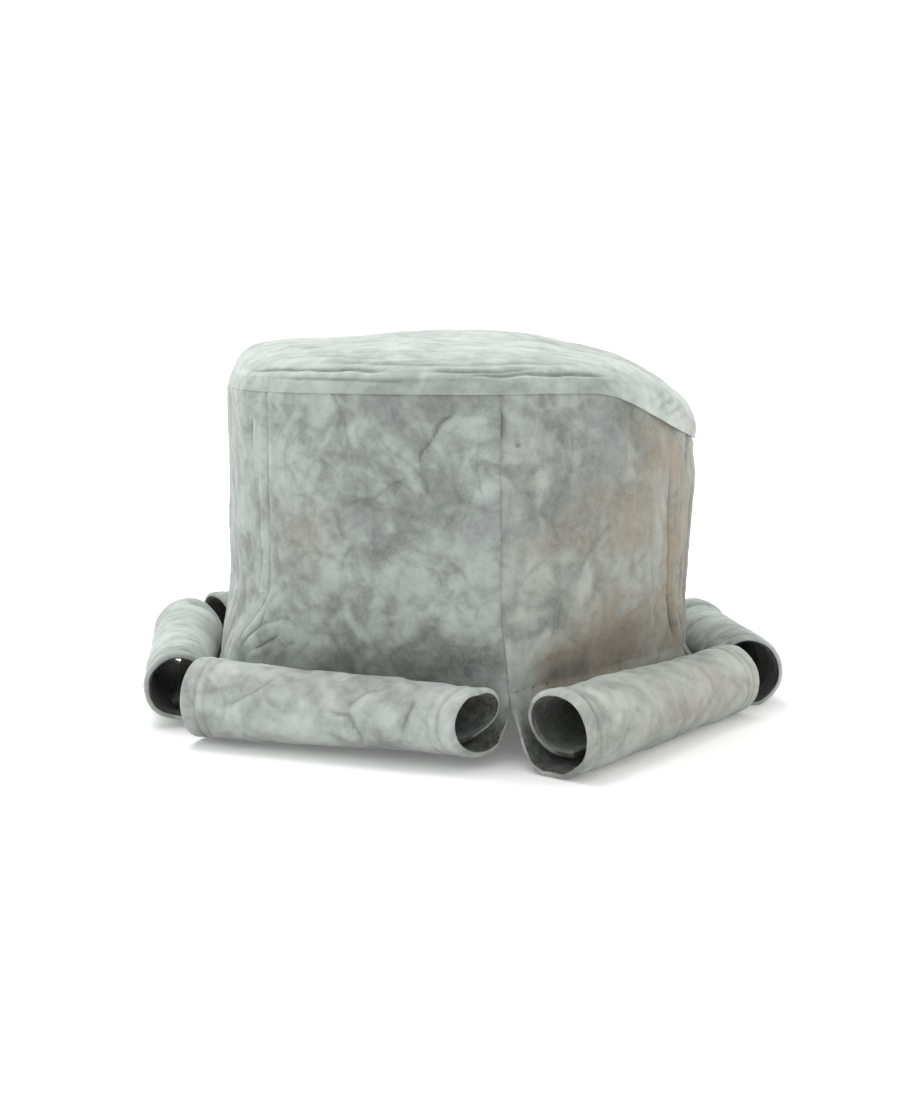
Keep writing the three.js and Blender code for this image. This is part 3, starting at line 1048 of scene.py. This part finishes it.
@dataclass
class Tip(Cloth):
    """The round top of the crown, one slumped cloth that stands on the tip seam.

    The hang turns say where its slumped corner starts to hang over a panel, where it hangs fully and where
    that stops, and where it ends. The slope is the flat cloth's second direction, mostly from front to back.
    """

    crown: Crown
    marks: Marks = Marks()
    around: int = 50
    rings: int = 116
    ring_power: float = 2.9
    pole: float = 0.999
    heights: Layers = Layers(folds=0.7, streaks=0.4, crumples=0.35)
    painted_fold_shading: Layers = Layers(folds=0.3, streaks=0.35, crumples=0.2)
    slope_share: float = 1.2
    streak_lean: float = 84.0
    streak_size: tuple[float, float] = (3.6 * MILLI, 26 * MILLI)
    crumple_lean: float = 70.0
    warp_turn: float = 0.6
    warp_down: float = 0.5 * MILLI
    crushed_shade: float = 0.6
    humps: tuple[Hump, ...] = (
        Hump(0.0, 0.2, spread=0.4, rise=0.2),
        Hump(0.4, 0.0, spread=0.22, rise=-0.1),
        Hump(-0.84, 0.0, spread=0.24, rise=0.26),
    )
    swells: tuple[Swell, ...] = (
        Swell(turn=86, wide=26, down=16, high=13, rise=3.6),
        Swell(turn=-82, wide=34, down=6, high=6, rise=-2.0),
    )
    band: float = 4 * MILLI
    band_dusk: float = 0.19
    lap: float = 0.9 * MILLI
    lap_rows: int = 14
    hang: float = 4.6 * MILLI
    hang_turns: tuple[float, float, float, float] = (34.0, 57.0, 60.0, 85.0)
    stand_off: float = 0.5 * MILLI
    hang_stand_off: float = 0.7 * MILLI
    edge_wall: float = 0.5 * MILLI
    thickening: float = 3 * MILLI
    name: str = "tip"

    def hanging(self, turn: Array) -> Array:
        """How far the slumped corner hangs over its panel at each turn, from 0 to 1."""
        start, full, until, end = self.hang_turns
        return ease((turn - start) / (full - start)) * (1.0 - ease((turn - until) / (end - until)))

    def base(self, rim: Array, inward: Array) -> Array:
        """The smooth outer face.

        Towards the middle the rim's height fades by the square of the way out, and a dome of the shape
        (1 - out^q)^(1/q) stands on it, raised by the humps.

        Args:
            rim: Points of the tip seam, one for each column.
            inward: Shares of the way in from the seam, one for each ring.

        Returns:
            A (column, ring, 3) grid of points about the crown's axis.
        """
        crown = self.crown
        out = 1.0 - inward[None, :]
        dome = np.clip(1.0 - out**crown.tip_squareness, 0.0, 1.0) ** (1.0 / crown.tip_squareness)
        plan = rim[:, None, :2] * out[..., None]
        raised = 0.0
        for hump in self.humps:
            away = plan - np.array([hump.x, hump.y]) * crown.head_radius
            distance = np.hypot(away[..., 0], away[..., 1])
            raised = raised + hump.rise * bell(distance, hump.spread * crown.head_radius)
        level = lerp(crown.notch_height + crown.side_height, rim[:, None, 2], out**2)
        height = level + crown.seam_gap + crown.tip_rise * dome * (1.0 + raised)
        return np.concatenate([plan, height[..., None]], axis=-1)

    def facing(self, points: Array) -> Array:
        """Unit normals of the closed dish: upwards, and straight out along its lap."""
        looped = np.concatenate([points[-1:], points, points[:1]])
        normal = normals_of(looped)[1:-1]
        normal *= np.sign(normal[..., 2:].mean())
        rows = self.lap_rows + 1
        radial = polar(turn_of(points[:, :rows]), 1.0)
        normal[:, :rows] = np.concatenate([radial, np.zeros((*radial.shape[:2], 1))], axis=-1)
        return normal

    def skirt(self, turn: Array) -> Array:
        """The narrow lap below the seam, which lies along the panels, from its edge up to the seam.

        Args:
            turn: The turn of each column.

        Returns:
            A (column, row, 3) grid of points about the crown's axis.
        """
        crown = self.crown
        share = np.linspace(0.0, 1.0, self.around, endpoint=False)
        length = (self.lap + self.hang * self.hanging(turn)).reshape(len(crown.cuts), self.around)
        up = np.linspace(1.0, 0.0, self.lap_rows, endpoint=False)
        return np.concatenate([
            crown.side_point(i, share[:, None] + 0.0 * up, 1.0 - length[i][:, None] * up / crown.side_height)
            for i in range(len(crown.cuts))
        ])

    def build(self) -> bpy.types.Object:
        """Creases the plain dish and makes its closed mesh.

        Returns:
            The finished piece, without its material.
        """
        crown = self.crown
        share = np.linspace(0.0, 1.0, self.around, endpoint=False)
        level = np.ones_like(share)
        rim = np.concatenate([crown.side_point(i, share, level) for i in range(len(crown.cuts))])
        inward = np.linspace(0.0, 1.0, self.rings) ** self.ring_power
        inward = np.append(inward[:-1], self.pole)
        base = self.base(rim, inward)
        turn = turn_of(rim)
        base = np.concatenate([self.skirt(turn), base], axis=1)
        down = lengths_along(base, 1)
        down -= down[:, self.lap_rows, None]
        turns = turn[:, None] + np.zeros_like(down)
        degree = np.full(down.shape, np.pi * 2 * crown.head_radius / FULL_TURN)

        slope = base[..., 1] * self.slope_share + base[..., 2]
        flat = (base[..., 0], slope)
        crumples, crushed = Noise(Seed.CRUMPLES).crumples(*flat, self.crumple_lean, Seed.TIP_WAVES)
        layers = {
            "folds": Noise(Seed.FOLDS).clouds(base, self.FOLD_SIZE),
            "streaks": Noise(Seed.TIP_STREAKS).streaks(*flat, self.streak_lean, *self.streak_size),
            "crumples": crumples,
        }
        hanging = self.hanging(turns)
        relief = MILLI * self.heights.total(layers) * ease(down / self.band + 0.5 * hanging)
        warp_x, warp_y = self.warp(base)
        place = turns + self.warp_turn * warp_x
        own, valley = self.marks.relief(place, down + self.warp_down * warp_y, degree)
        relief = relief + own + sum(swell.relief(turns, down) for swell in self.swells)
        stand_off = self.stand_off + self.hang_stand_off * hanging
        relief = relief + stand_off * ease(1.0 - down / self.band)
        moved = base + self.facing(base) * relief[..., None]
        wall = lerp(self.edge_wall, crown.wall, ease(down / self.thickening))
        inner = moved - self.facing(moved) * wall[..., None]

        dusk, warmth = self.marks.tint(turns, down, degree)
        # Painted shade: the band just above the tip seam is darker, except where the corner hangs over.
        banded = self.band_dusk * ease((self.band + MILLI - down) / MILLI) * (1.0 - hanging)
        # Painted shade in the creases and crushed creases.
        painted_crease_shade = np.maximum(valley, self.crushed_shade * crushed)
        self.flat = (2.0 * float(down.max()), 2.0 * float(down.max()))
        self.area = area_of(moved)
        dusks = (dusk + banded, dusk)
        return self.close((moved, inner), painted_crease_shade, self.painted_fold_shading.total(layers), dusks, warmth, round_about=True)


@dataclass(frozen=True)
class Patches:
    """One size of pale patches: metres across, its noise, where that starts to be pale, and its share."""

    name: str
    size: float
    detail: float
    distortion: float
    start: float
    share: float


PATCHES = (
    Patches("Clouds", 44 * MILLI, detail=2.0, distortion=0.4, start=0.34, share=0.2),
    Patches("Smudges", 17 * MILLI, detail=3.0, distortion=1.4, start=0.32, share=0.24),
    Patches("Mottle", 6.5 * MILLI, detail=4.0, distortion=0.8, start=0.3, share=0.18),
)


@dataclass(frozen=True)
class HideFinish:
    """The colours and surface of one washed hide, whose underside is paler than its face, partly as painted
    light. Dusky darkens marks and paints shade, and a negative dusk's colour pales marks and paints light.

    Ranges are the values that become 0 and 1, and shares say how strongly a thing shows.
    """

    pale: tuple[float, float, float]
    deep: tuple[float, float, float]
    pale_under: tuple[float, float, float]
    deep_under: tuple[float, float, float]
    warm: tuple[float, float, float] = (0.3, 0.262, 0.2)
    cool: tuple[float, float, float] = (0.29, 0.31, 0.325)
    bleached_and_lit: tuple[float, float, float] = (0.8, 0.86, 0.79)
    dusky: tuple[float, float, float] = (0.022, 0.0225, 0.0205)
    speck: tuple[float, float, float] = (0.8, 0.84, 0.8)
    fold_highlight_share: float = 0.4
    pale_range: tuple[float, float] = (0.2, 0.82)
    cool_size: float = 26 * MILLI
    cool_range: tuple[float, float] = (0.5, 0.75)
    cool_share: float = 0.45
    crease_shade: float = 0.36
    speck_range: tuple[float, float] = (0.35, 0.8)
    speck_share: float = 0.1
    roughness: float = 0.86
    mottle_roughness: float = 0.08
    sheen: float = 0.2
    sheen_roughness: float = 0.5
    specular: float = 0.25
    nap_height: float = 0.25 * MILLI
    nap_strength: float = 0.35


# Paler than the panels' face: partly the hide's own tone, partly painted light where it faces up.
TIP_FINISH = HideFinish(
    pale=(0.51, 0.556, 0.512),
    deep=(0.32, 0.354, 0.324),
    pale_under=(0.5, 0.54, 0.5),
    deep_under=(0.38, 0.41, 0.38),
)
# Face darker than the tip's: partly the hide's own tone, partly painted shade on the upright sides.
PANEL_FINISH = HideFinish(
    pale=(0.395, 0.432, 0.398),
    deep=(0.18, 0.198, 0.185),
    pale_under=(0.5, 0.54, 0.5),
    deep_under=(0.27, 0.296, 0.274),
)

PANEL_MARKS = {
    "front_left": Marks(
        lean=38,
        creases=(
            Crease(((0.85, 5), (0.78, 12), (0.71, 22), (0.69, 27)), 0.9, 0.95),
            Crease(((0.69, 27), (0.65, 30), (0.6, 32), (0.53, 37), (0.44, 39), (0.35, 44)), 0.75, 1.0),
            Crease(((0.69, 27), (0.73, 33), (0.73, 38)), 0.6, 0.9),
            Crease(((0.39, 8), (0.26, 17)), 0.45, 2.0),
            Crease(((0.44, 6), (0.35, 22)), 0.45, 2.2),
            Crease(((0.08, 27), (0.15, 32)), 0.35, 1.2),
            Crease(((0.22, 23), (0.32, 27)), 0.35, 1.2),
            Crease(((0.41, 56), (0.37, 61), (0.36, 66)), 0.5, 1.1),
            Crease(((0.71, 62), (0.78, 63)), 0.4, 1.0),
            Crease(((0.04, 50), (0.035, 68)), 0.6, 2.2),
            Crease(((0.02, 80), (0.035, 90), (0.025, 99)), 0.9, 1.0),
            Crease(((0.1, 82), (0.15, 85.5), (0.2, 88)), 0.6, 1.1),
            Crease(((0.05, 95), (0.075, 90), (0.12, 88), (0.16, 89.5)), -1.2, 1.1),
            Crease(((0.085, 98), (0.11, 95), (0.145, 92)), 1.5, 1.1),
            Crease(((0.075, 101.5), (0.12, 99), (0.16, 95.5)), -1.1, 1.0),
            Crease(((0.17, 97), (0.22, 93)), 0.8, 1.0),
            Crease(((0.26, 101), (0.3, 94)), -0.5, 1.2),
            Crease(((0.6, 100), (0.67, 92)), -0.6, 1.2),
            Crease(((0.34, 169), (0.27, 162), (0.16, 155)), 0.7, 1.1),
            Crease(((0.3, 160), (0.39, 155)), 0.6, 1.1),
            Crease(((0.51, 159), (0.58, 156), (0.61, 156), (0.65, 149), (0.62, 143)), 0.8, 1.0),
            Crease(((0.61, 162), (0.61, 157)), 0.7, 1.0),
            Crease(((0.61, 159), (0.66, 165), (0.73, 167)), 0.6, 1.1),
            Crease(((0.84, 165), (0.82, 156), (0.79, 151)), 0.9, 1.0),
        ),
        stains_and_shade=(
            # This and the next two: painted shade at the panel's foot, just above its roll.
            StainAndShade(0.85, 97, 15, 9, dusk=0.45),
            StainAndShade(0.48, 98, 11, 5, dusk=0.3),
            StainAndShade(0.25, 101, 22, 5, dusk=0.25),
            # Painted shade along the crease beside the left seam.
            StainAndShade(0.04, 59, 3, 10, dusk=0.3),
            StainAndShade(0.62, 8, 14, 8, dusk=0.12),
            StainAndShade(0.17, 53, 12, 10, dusk=0.05, warmth=0.35),
            # Painted light: paler down the left seam, where the side turns to the light.
            StainAndShade(0.0, 45, 5, 60, dusk=-0.6),
            # Painted shade over the panel's lower part, above its roll.
            StainAndShade(0.45, 86, 60, 22, dusk=0.24),
            StainAndShade(0.5, 166, 80, 9, dusk=0.1, warmth=0.08),
            # Painted shade at the foot beside the front seam.
            StainAndShade(0.97, 96, 5, 12, dusk=0.2),
            StainAndShade(0.45, 29, 14, 12, dusk=-0.12),
            StainAndShade(0.8, 76, 12, 10, dusk=-0.15),
            StainAndShade(0.92, 40, 5, 12, dusk=-0.15),
        ),
    ),
    "front_right": Marks(
        lean=4,
        creases=(
            Crease(((0.26, 2), (0.27, 17), (0.27, 34)), 0.4, 0.9),
            Crease(((0.0, 4), (0.012, 11), (0.0, 17)), 0.7, 1.4),
            Crease(((0.0, 47), (0.2, 45), (0.45, 47)), 0.35, 2.5),
            Crease(((0.86, 12), (0.9, 40), (0.93, 75), (0.95, 98)), 0.8, 1.4),
            Crease(((0.93, 12), (0.96, 60), (0.97, 96)), -0.8, 1.3),
            Crease(((0.93, 73), (0.94, 99)), 0.9, 1.2),
            Crease(((0.62, 40), (0.72, 70), (0.83, 97)), -0.5, 2.0),
            Crease(((0.6, 0), (0.98, 0)), 0.6, 3.0),
            Crease(((0.25, 168), (0.4, 160)), 0.3, 1.4),
            Crease(((0.5, 170), (0.62, 160)), 0.3, 1.4),
        ),
        stains_and_shade=(
            StainAndShade(0.3, 11, 45, 9, dusk=0.17),
            StainAndShade(0.76, 14, 16, 14, dusk=0.12, warmth=0.9),
            StainAndShade(0.6, 45, 24, 12, dusk=0.08, warmth=0.7),
            StainAndShade(0.5, 60, 60, 46, warmth=0.22),
            StainAndShade(0.14, 27, 12, 12, dusk=-0.15),
            StainAndShade(0.22, 51, 26, 4, dusk=0.14, warmth=0.25),
            StainAndShade(0.12, 80, 12, 18, dusk=-0.12),
            # This and the next two: painted shade, tinted brown, at the panel's foot behind its roll.
            StainAndShade(0.58, 88, 22, 12, dusk=0.26, warmth=1.6),
            StainAndShade(0.5, 99, 28, 5, dusk=0.3, warmth=1.0),
            StainAndShade(0.27, 97, 13, 8, dusk=0.5, warmth=1.5),
            # This and the next: painted light down the right seam, where the side turns to the light.
            StainAndShade(0.95, 50, 9, 60, dusk=-0.2, warmth=0.95),
            StainAndShade(0.94, 88, 9, 18, dusk=-0.5, warmth=0.3),
            # Painted shade at the foot beside the front seam.
            StainAndShade(0.03, 96, 5, 12, dusk=0.2),
            StainAndShade(0.052, 17.6, 0.9, 0.9, dusk=0.8),
            StainAndShade(0.096, 34, 0.7, 0.7, dusk=0.6),
            StainAndShade(0.6, 160, 70, 16, warmth=0.5),
        ),
        flap_sag=3.2 * MILLI,
        flap_light=0.85,
    ),
    "right": Marks(
        lean=-6,
        creases=(
            Crease(((0.05, 8), (0.08, 50), (0.04, 98)), -0.8, 1.5),
            Crease(((0.12, 10), (0.16, 60), (0.12, 99)), 0.8, 1.6),
            Crease(((0.6, 20), (0.48, 48), (0.52, 80)), 0.5, 1.6),
            Crease(((0.2, 165), (0.35, 155)), 0.35, 1.3),
            Crease(((0.7, 168), (0.6, 158)), 0.35, 1.3),
        ),
        stains_and_shade=(
            # This and the next: painted light down the left seam, where the side turns to the light.
            StainAndShade(0.1, 50, 24, 60, dusk=-0.2, warmth=0.6),
            StainAndShade(0.05, 90, 9, 18, dusk=-0.3),
            # Painted light: the roll paler where it faces the light.
            StainAndShade(0.5, 165, 60, 26, dusk=-0.6),
            # Painted shade at the panel's foot behind its roll.
            StainAndShade(0.6, 90, 20, 10, dusk=0.3, warmth=0.3),
        ),
    ),
    "back_right": Marks(
        lean=24,
        creases=(
            Crease(((0.15, 10), (0.3, 34), (0.28, 52)), 0.5, 1.2),
            Crease(((0.6, 30), (0.78, 44), (0.9, 46)), 0.45, 1.3),
            Crease(((0.45, 70), (0.6, 88)), 0.5, 1.4),
            Crease(((0.3, 168), (0.42, 158)), 0.4, 1.2),
            Crease(((0.75, 166), (0.7, 154)), 0.4, 1.2),
        ),
        # The first is painted shade at the panel's foot, above its roll.
        stains_and_shade=(StainAndShade(0.4, 95, 26, 10, dusk=0.3), StainAndShade(0.7, 30, 20, 20, dusk=-0.12)),
    ),
    "back_left": Marks(
        lean=-30,
        creases=(
            Crease(((0.2, 12), (0.34, 30), (0.5, 38), (0.62, 60)), 0.5, 1.2),
            Crease(((0.8, 20), (0.72, 48)), 0.45, 1.4),
            Crease(((0.3, 80), (0.42, 94)), -0.5, 1.5),
            Crease(((0.4, 166), (0.5, 156)), 0.4, 1.2),
            Crease(((0.8, 168), (0.68, 158)), 0.4, 1.2),
        ),
        # The first is painted shade at the panel's foot, above its roll.
        stains_and_shade=(StainAndShade(0.6, 96, 26, 9, dusk=0.3), StainAndShade(0.2, 40, 16, 22, dusk=0.1, warmth=0.2)),
    ),
    "left": Marks(
        lean=3,
        creases=(
            Crease(((0.9, 10), (0.9, 23)), 0.7, 1.2),
            Crease(((0.86, 8), (0.84, 50), (0.87, 88)), -0.4, 2.6),
            Crease(((0.94, 24), (0.95, 84)), 0.35, 1.5),
            Crease(((0.87, 88), (0.92, 97), (0.98, 100)), 0.8, 1.3),
            Crease(((0.3, 30), (0.42, 52), (0.4, 80)), 0.5, 1.4),
            Crease(((0.45, 168), (0.55, 158)), 0.3, 1.3),
        ),
        stains_and_shade=(
            # Painted light: paler down the right seam, where the side turns to the light.
            StainAndShade(0.88, 50, 40, 90, dusk=-1.35),
            # Painted light: the roll paler where it faces the light.
            StainAndShade(0.6, 172, 40, 20, dusk=-0.3),
            # Painted shade at the panel's foot, above its roll.
            StainAndShade(0.3, 96, 20, 8, dusk=0.3),
            # Painted shade at the roll's end beside the front left roll.
            StainAndShade(1.02, 165, 6, 60, dusk=0.35),
        ),
    ),
}
TIP_MARKS = Marks(
    creases=(
        Crease(((-66, 7.6), (-40, 8), (-12, 7.4)), 1.0, 0.8),
        Crease(((-50, 3.8), (-30, 3.9), (-8, 3.5)), 0.5, 0.8),
        Crease(((-9, 7.2), (12, 7.3), (20, 7.0)), 0.8, 0.8),
        Crease(((-2, 5.4), (20, 5.5), (41, 5.6)), 1.3, 0.85),
        Crease(((-44, 12), (-24, 12.5), (8, 11.5), (34, 11)), 0.6, 1.3),
        Crease(((-46, 18), (-34, 19), (-22, 18)), 0.5, 1.8),
        Crease(((50, -3), (66, 10)), 0.35, 0.7),
        Crease(((53.5, -3.5), (70, 9.5)), 0.5, 0.7),
        Crease(((57, -4), (74, 8)), 0.5, 0.7),
        Crease(((61, -4.5), (78, 6.5)), 0.3, 0.8),
        Crease(((110, 6), (150, 8), (190, 6)), 0.9, 1.2),
        Crease(((-170, 7), (-130, 9), (-95, 6)), 0.8, 1.2),
    ),
    stains_and_shade=(
        # This and the next: painted light on the slumped corner that hangs over the right side.
        StainAndShade(48, 20, 24, 10, dusk=-0.2),
        StainAndShade(60, 2, 34, 18, dusk=-0.4),
        StainAndShade(76, 0, 8, 8, warmth=0.25),
    ),
)


class Tree:
    """Adds nodes to one shader tree and links them."""

    def __init__(self, tree: bpy.types.NodeTree) -> None:
        """Takes the tree that is to be filled."""
        self.tree = tree

    def add(self, kind: str, inputs: dict, **settings: object) -> bpy.types.Node:
        """Adds one node.

        Args:
            kind: The node's type.
            inputs: A value, or the socket to link, for each named or numbered input.
            settings: The node's own settings.

        Returns:
            The new node.
        """
        node = self.tree.nodes.new(kind)
        for key, value in settings.items():
            setattr(node, key, value)
        for key, value in inputs.items():
            if isinstance(value, bpy.types.NodeSocket):
                self.tree.links.new(value, node.inputs[key])
            else:
                node.inputs[key].default_value = value
        return node

    def math(self, operation: str, a: object, b: object = 0.0, clamp: bool = False) -> bpy.types.NodeSocket:
        """The result of one sum on one or two values."""
        return self.add("ShaderNodeMath", {0: a, 1: b}, operation=operation, use_clamp=clamp).outputs[0]

    def blend(self, share: object, first: object, second: object) -> bpy.types.NodeSocket:
        """Two colours blended by a share."""
        colours = [(*c, 1.0) if isinstance(c, tuple) else c for c in (first, second)]
        inputs = {0: share, 6: colours[0], 7: colours[1]}
        return self.add("ShaderNodeMix", inputs, data_type="RGBA").outputs[2]

    def noise(
        self, vector: object, size: float, detail: float, distortion: float = 0.0
    ) -> bpy.types.NodeSocket:
        """Noise with features of about the given size in metres."""
        inputs = {"Vector": vector, "Scale": 1.0 / size, "Detail": detail, "Distortion": distortion}
        return self.add("ShaderNodeTexNoise", inputs).outputs[0]

    def ramp(self, value: object, low: float, high: float) -> bpy.types.NodeSocket:
        """A value mapped smoothly from between low and high to between 0 and 1."""
        inputs = {"Value": value, "From Min": low, "From Max": high}
        return self.add("ShaderNodeMapRange", inputs, interpolation_type="SMOOTHSTEP").outputs[0]


def hide_group() -> bpy.types.NodeTree:
    """The mottling and nap that both hides share.

    Returns:
        A node group with a Vector input, whose outputs are Clouds, Smudges and Mottle, the broad, middling
        and small pale patches, and Nap, the height of the brushed surface.
    """
    group = bpy.data.node_groups.new("washed_hide", "ShaderNodeTree")
    group.interface.new_socket("Vector", in_out="INPUT", socket_type="NodeSocketVector")
    for name in (*(patches.name for patches in PATCHES), "Nap"):
        group.interface.new_socket(name, in_out="OUTPUT", socket_type="NodeSocketFloat")
    tree = Tree(group)
    vector = tree.add("NodeGroupInput", {}).outputs["Vector"]
    outputs = {}
    for patches in PATCHES:
        noise = tree.noise(vector, patches.size, patches.detail, patches.distortion)
        outputs[patches.name] = tree.ramp(noise, patches.start, 1.0 - patches.start)
    grain = tree.noise(vector, 0.7 * MILLI, 3.0)
    brushed = tree.noise(vector, 2.6 * MILLI, 3.0, 0.5)
    outputs["Nap"] = tree.math("ADD", tree.math("MULTIPLY", grain, 0.55), tree.math("MULTIPLY", brushed, 0.6))
    tree.add("NodeGroupOutput", outputs)
    return group


def hide_material(slot: Slot, finish: HideFinish, group: bpy.types.NodeTree) -> bpy.types.Material:
    """One washed hide.

    The patches and folds choose between the deep and the pale colour, the underside has its own two, and
    warmth, bleaching, dusk and creases are laid over them.

    Args:
        slot: The material slot that names it.
        finish: Its colours and surface.
        group: The shared mottling and nap.

    Returns:
        The material.
    """
    material = bpy.data.materials.new(slot.value)
    material.use_nodes = True
    material.node_tree.nodes.clear()
    tree = Tree(material.node_tree)
    place = tree.add("ShaderNodeTexCoord", {}).outputs["Object"]
    hide = tree.add("ShaderNodeGroup", {}, node_tree=group)
    tree.tree.links.new(place, hide.inputs["Vector"])
    nap = hide.outputs["Nap"]

    def value(name: str) -> bpy.types.NodeSocket:
        """One of the mesh's own values."""
        return tree.add("ShaderNodeAttribute", {}, attribute_name=name).outputs["Fac"]

    # Painted highlight and shade: fold tops are paler and fold hollows darker.
    pale = tree.math("MULTIPLY", value("raised"), finish.fold_highlight_share)
    for patches in PATCHES:
        inputs = {0: hide.outputs[patches.name], 1: patches.share, 2: pale}
        pale = tree.add("ShaderNodeMath", inputs, operation="MULTIPLY_ADD").outputs[0]
    pale = tree.ramp(pale, *finish.pale_range)
    face = tree.blend(pale, finish.deep, finish.pale)
    under = tree.blend(pale, finish.deep_under, finish.pale_under)
    # The undersides that show on the rolls are paler: partly the hide's tone, partly painted light.
    colour = tree.blend(value("underside"), face, under)
    cool = tree.ramp(tree.noise(place, finish.cool_size, 2.0, 0.6), *finish.cool_range)
    colour = tree.blend(tree.math("MULTIPLY", cool, finish.cool_share), colour, finish.cool)
    # Warmth: the hide's own brown, which at the front right panel's foot tints its painted shade.
    colour = tree.blend(value("warmth"), colour, finish.warm)
    # Dusk: the hide's own marks, painted shade at feet and rolls, and below 0 painted light on lit sides.
    dusk = value("dusk")
    colour = tree.blend(tree.math("MULTIPLY", dusk, -1.0, clamp=True), colour, finish.bleached_and_lit)
    colour = tree.blend(tree.math("MULTIPLY", dusk, 1.0, clamp=True), colour, finish.dusky)
    # Painted shade in creases, seams and hem grooves, by how deep in them a point lies.
    shade = tree.math("MULTIPLY", value("crease"), finish.crease_shade)
    colour = tree.blend(shade, colour, finish.dusky)
    speck = tree.ramp(nap, *finish.speck_range)
    colour = tree.blend(tree.math("MULTIPLY", speck, finish.speck_share), colour, finish.speck)
    rough = tree.math("MULTIPLY", hide.outputs["Mottle"], finish.mottle_roughness)
    rough = tree.math("ADD", rough, finish.roughness)
    bump = {"Height": nap, "Strength": finish.nap_strength, "Distance": finish.nap_height}
    normal = tree.add("ShaderNodeBump", bump).outputs[0]
    surface = {
        "Base Color": colour,
        "Roughness": rough,
        "Normal": normal,
        "Sheen Weight": finish.sheen,
        "Sheen Roughness": finish.sheen_roughness,
        "Specular IOR Level": finish.specular,
    }
    shader = tree.add("ShaderNodeBsdfPrincipled", surface)
    tree.add("ShaderNodeOutputMaterial", {"Surface": shader.outputs[0]})
    return material


@dataclass
class Studio:
    """The plain pale studio: a floor that curves up into its own backdrop, soft light and the camera."""

    flat_radius: float = 1.2
    rim_radius: float = 4.0
    rim_height: float = 3.2
    camera_distance: float = 0.7
    camera_elevation: float = 9.0
    aim_height: float = 59.6 * MILLI
    sensor: float = 36.0
    lens: float = 56.45
    nearest: float = 0.05
    sky: float = 0.93
    floor_tone: tuple[float, float, float, float] = (0.93, 0.93, 0.93, 1.0)
    floor_glow: float = 0.12
    floor_rings: int = 40
    floor_sides: int = 96
    light_place: tuple[float, float, float] = (-0.35, 0.25, 1.35)
    light_tilt: tuple[float, float, float] = (-11.0, -15.0, 0.0)
    light_size: float = 1.0
    light_power: float = 11.0

    def camera(self, axis: tuple[float, float]) -> None:
        """Sets the camera level with the photograph's view, aimed above the crown's foot."""
        angle = np.radians(self.camera_elevation)
        data = bpy.data.cameras.new("camera")
        data.sensor_width = self.sensor
        data.lens = self.lens
        data.clip_start = self.nearest
        camera = bpy.data.objects.new("camera", data)
        away = self.camera_distance
        camera.location = (axis[0], axis[1] - away * np.cos(angle), self.aim_height + away * np.sin(angle))
        camera.rotation_euler = (np.pi / 2 - angle, 0.0, 0.0)
        bpy.context.scene.collection.objects.link(camera)
        bpy.context.scene.camera = camera

    def floor(self) -> None:
        """Makes the floor: a flat disc whose rim eases up into a bowl."""
        rings = np.concatenate([[0.0], np.linspace(self.flat_radius, self.rim_radius, self.floor_rings)])
        climb = np.clip((rings - self.flat_radius) / (self.rim_radius - self.flat_radius), 0.0, 1.0)
        height = self.rim_height * climb**2
        around = np.radians(np.linspace(0.0, FULL_TURN, self.floor_sides, endpoint=False))
        ring, turn = np.meshgrid(rings, around, indexing="ij")
        points = np.stack([ring * np.cos(turn), ring * np.sin(turn), height[:, None] + 0.0 * turn], axis=-1)
        number = np.arange(ring.size).reshape(ring.shape)
        beside = np.roll(number, -1, axis=1)
        quads = np.stack([number[:-1], number[1:], beside[1:], beside[:-1]], axis=-1).reshape(-1, 4)
        piece = Mesh(points.reshape(-1, 3), quads).make("floor")
        material = bpy.data.materials.new("floor_paint")
        material.use_nodes = True
        inputs = material.node_tree.nodes["Principled BSDF"].inputs
        inputs["Base Color"].default_value = self.floor_tone
        inputs["Roughness"].default_value = 0.9
        inputs["Specular IOR Level"].default_value = 0.1
        inputs["Emission Color"].default_value = WHITE
        inputs["Emission Strength"].default_value = self.floor_glow
        piece.data.materials.append(material)
        piece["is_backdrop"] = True

    def lights(self) -> None:
        """Sets a pale sky and one broad soft light above and behind the hat's left."""
        scene = bpy.context.scene
        world = bpy.data.worlds.new("pale_sky")
        world.use_nodes = True
        inputs = world.node_tree.nodes["Background"].inputs
        inputs["Color"].default_value = WHITE
        inputs["Strength"].default_value = self.sky
        scene.world = world
        scene.view_settings.view_transform = "Standard"
        data = bpy.data.lights.new("softbox", "AREA")
        data.shape = "DISK"
        data.size = self.light_size
        data.energy = self.light_power
        light = bpy.data.objects.new("softbox", data)
        light.location = self.light_place
        light.rotation_euler = np.radians(self.light_tilt)
        scene.collection.objects.link(light)


def finished(
    cloth: Cloth, piece: bpy.types.Object, material: bpy.types.Material
) -> None:
    """Args:
        cloth: The cloth, which knows its flat size.
        piece: Its mesh.
        material: Its material.
    """
    piece.data.materials.append(material)
    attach(piece, ROOT)
    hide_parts(cloth.name)
    width, length = (side / MILLI for side in cloth.flat)
    log.info("%s: %d faces, cut from %.0f x %.0f mm", piece.name, len(piece.data.polygons), width, length)


def corners() -> list[list[float]]:
    """The object's lowest and highest corners as plain lists."""
    return [[float(value) for value in corner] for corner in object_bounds()]


def main() -> None:
    """Builds the studio and the hat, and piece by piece."""
    logging.basicConfig(level=logging.INFO, format="%(name)s %(message)s")
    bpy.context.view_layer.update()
    crown = Crown()
    studio = Studio()
    studio.camera(crown.axis)
    studio.floor()
    studio.lights()
    group = hide_group()
    panel_hide = hide_material(Slot.PANEL, PANEL_FINISH, group)
    tip_hide = hide_material(Slot.TIP, TIP_FINISH, group)
    for index, cut in enumerate(crown.cuts):
        panel = Panel(crown, index, PANEL_MARKS[cut.name])
        finished(panel, panel.build(), panel_hide)
    tip = Tip(crown, TIP_MARKS)
    finished(tip, tip.build(), tip_hide)


if __name__ == "__main__":
    main()
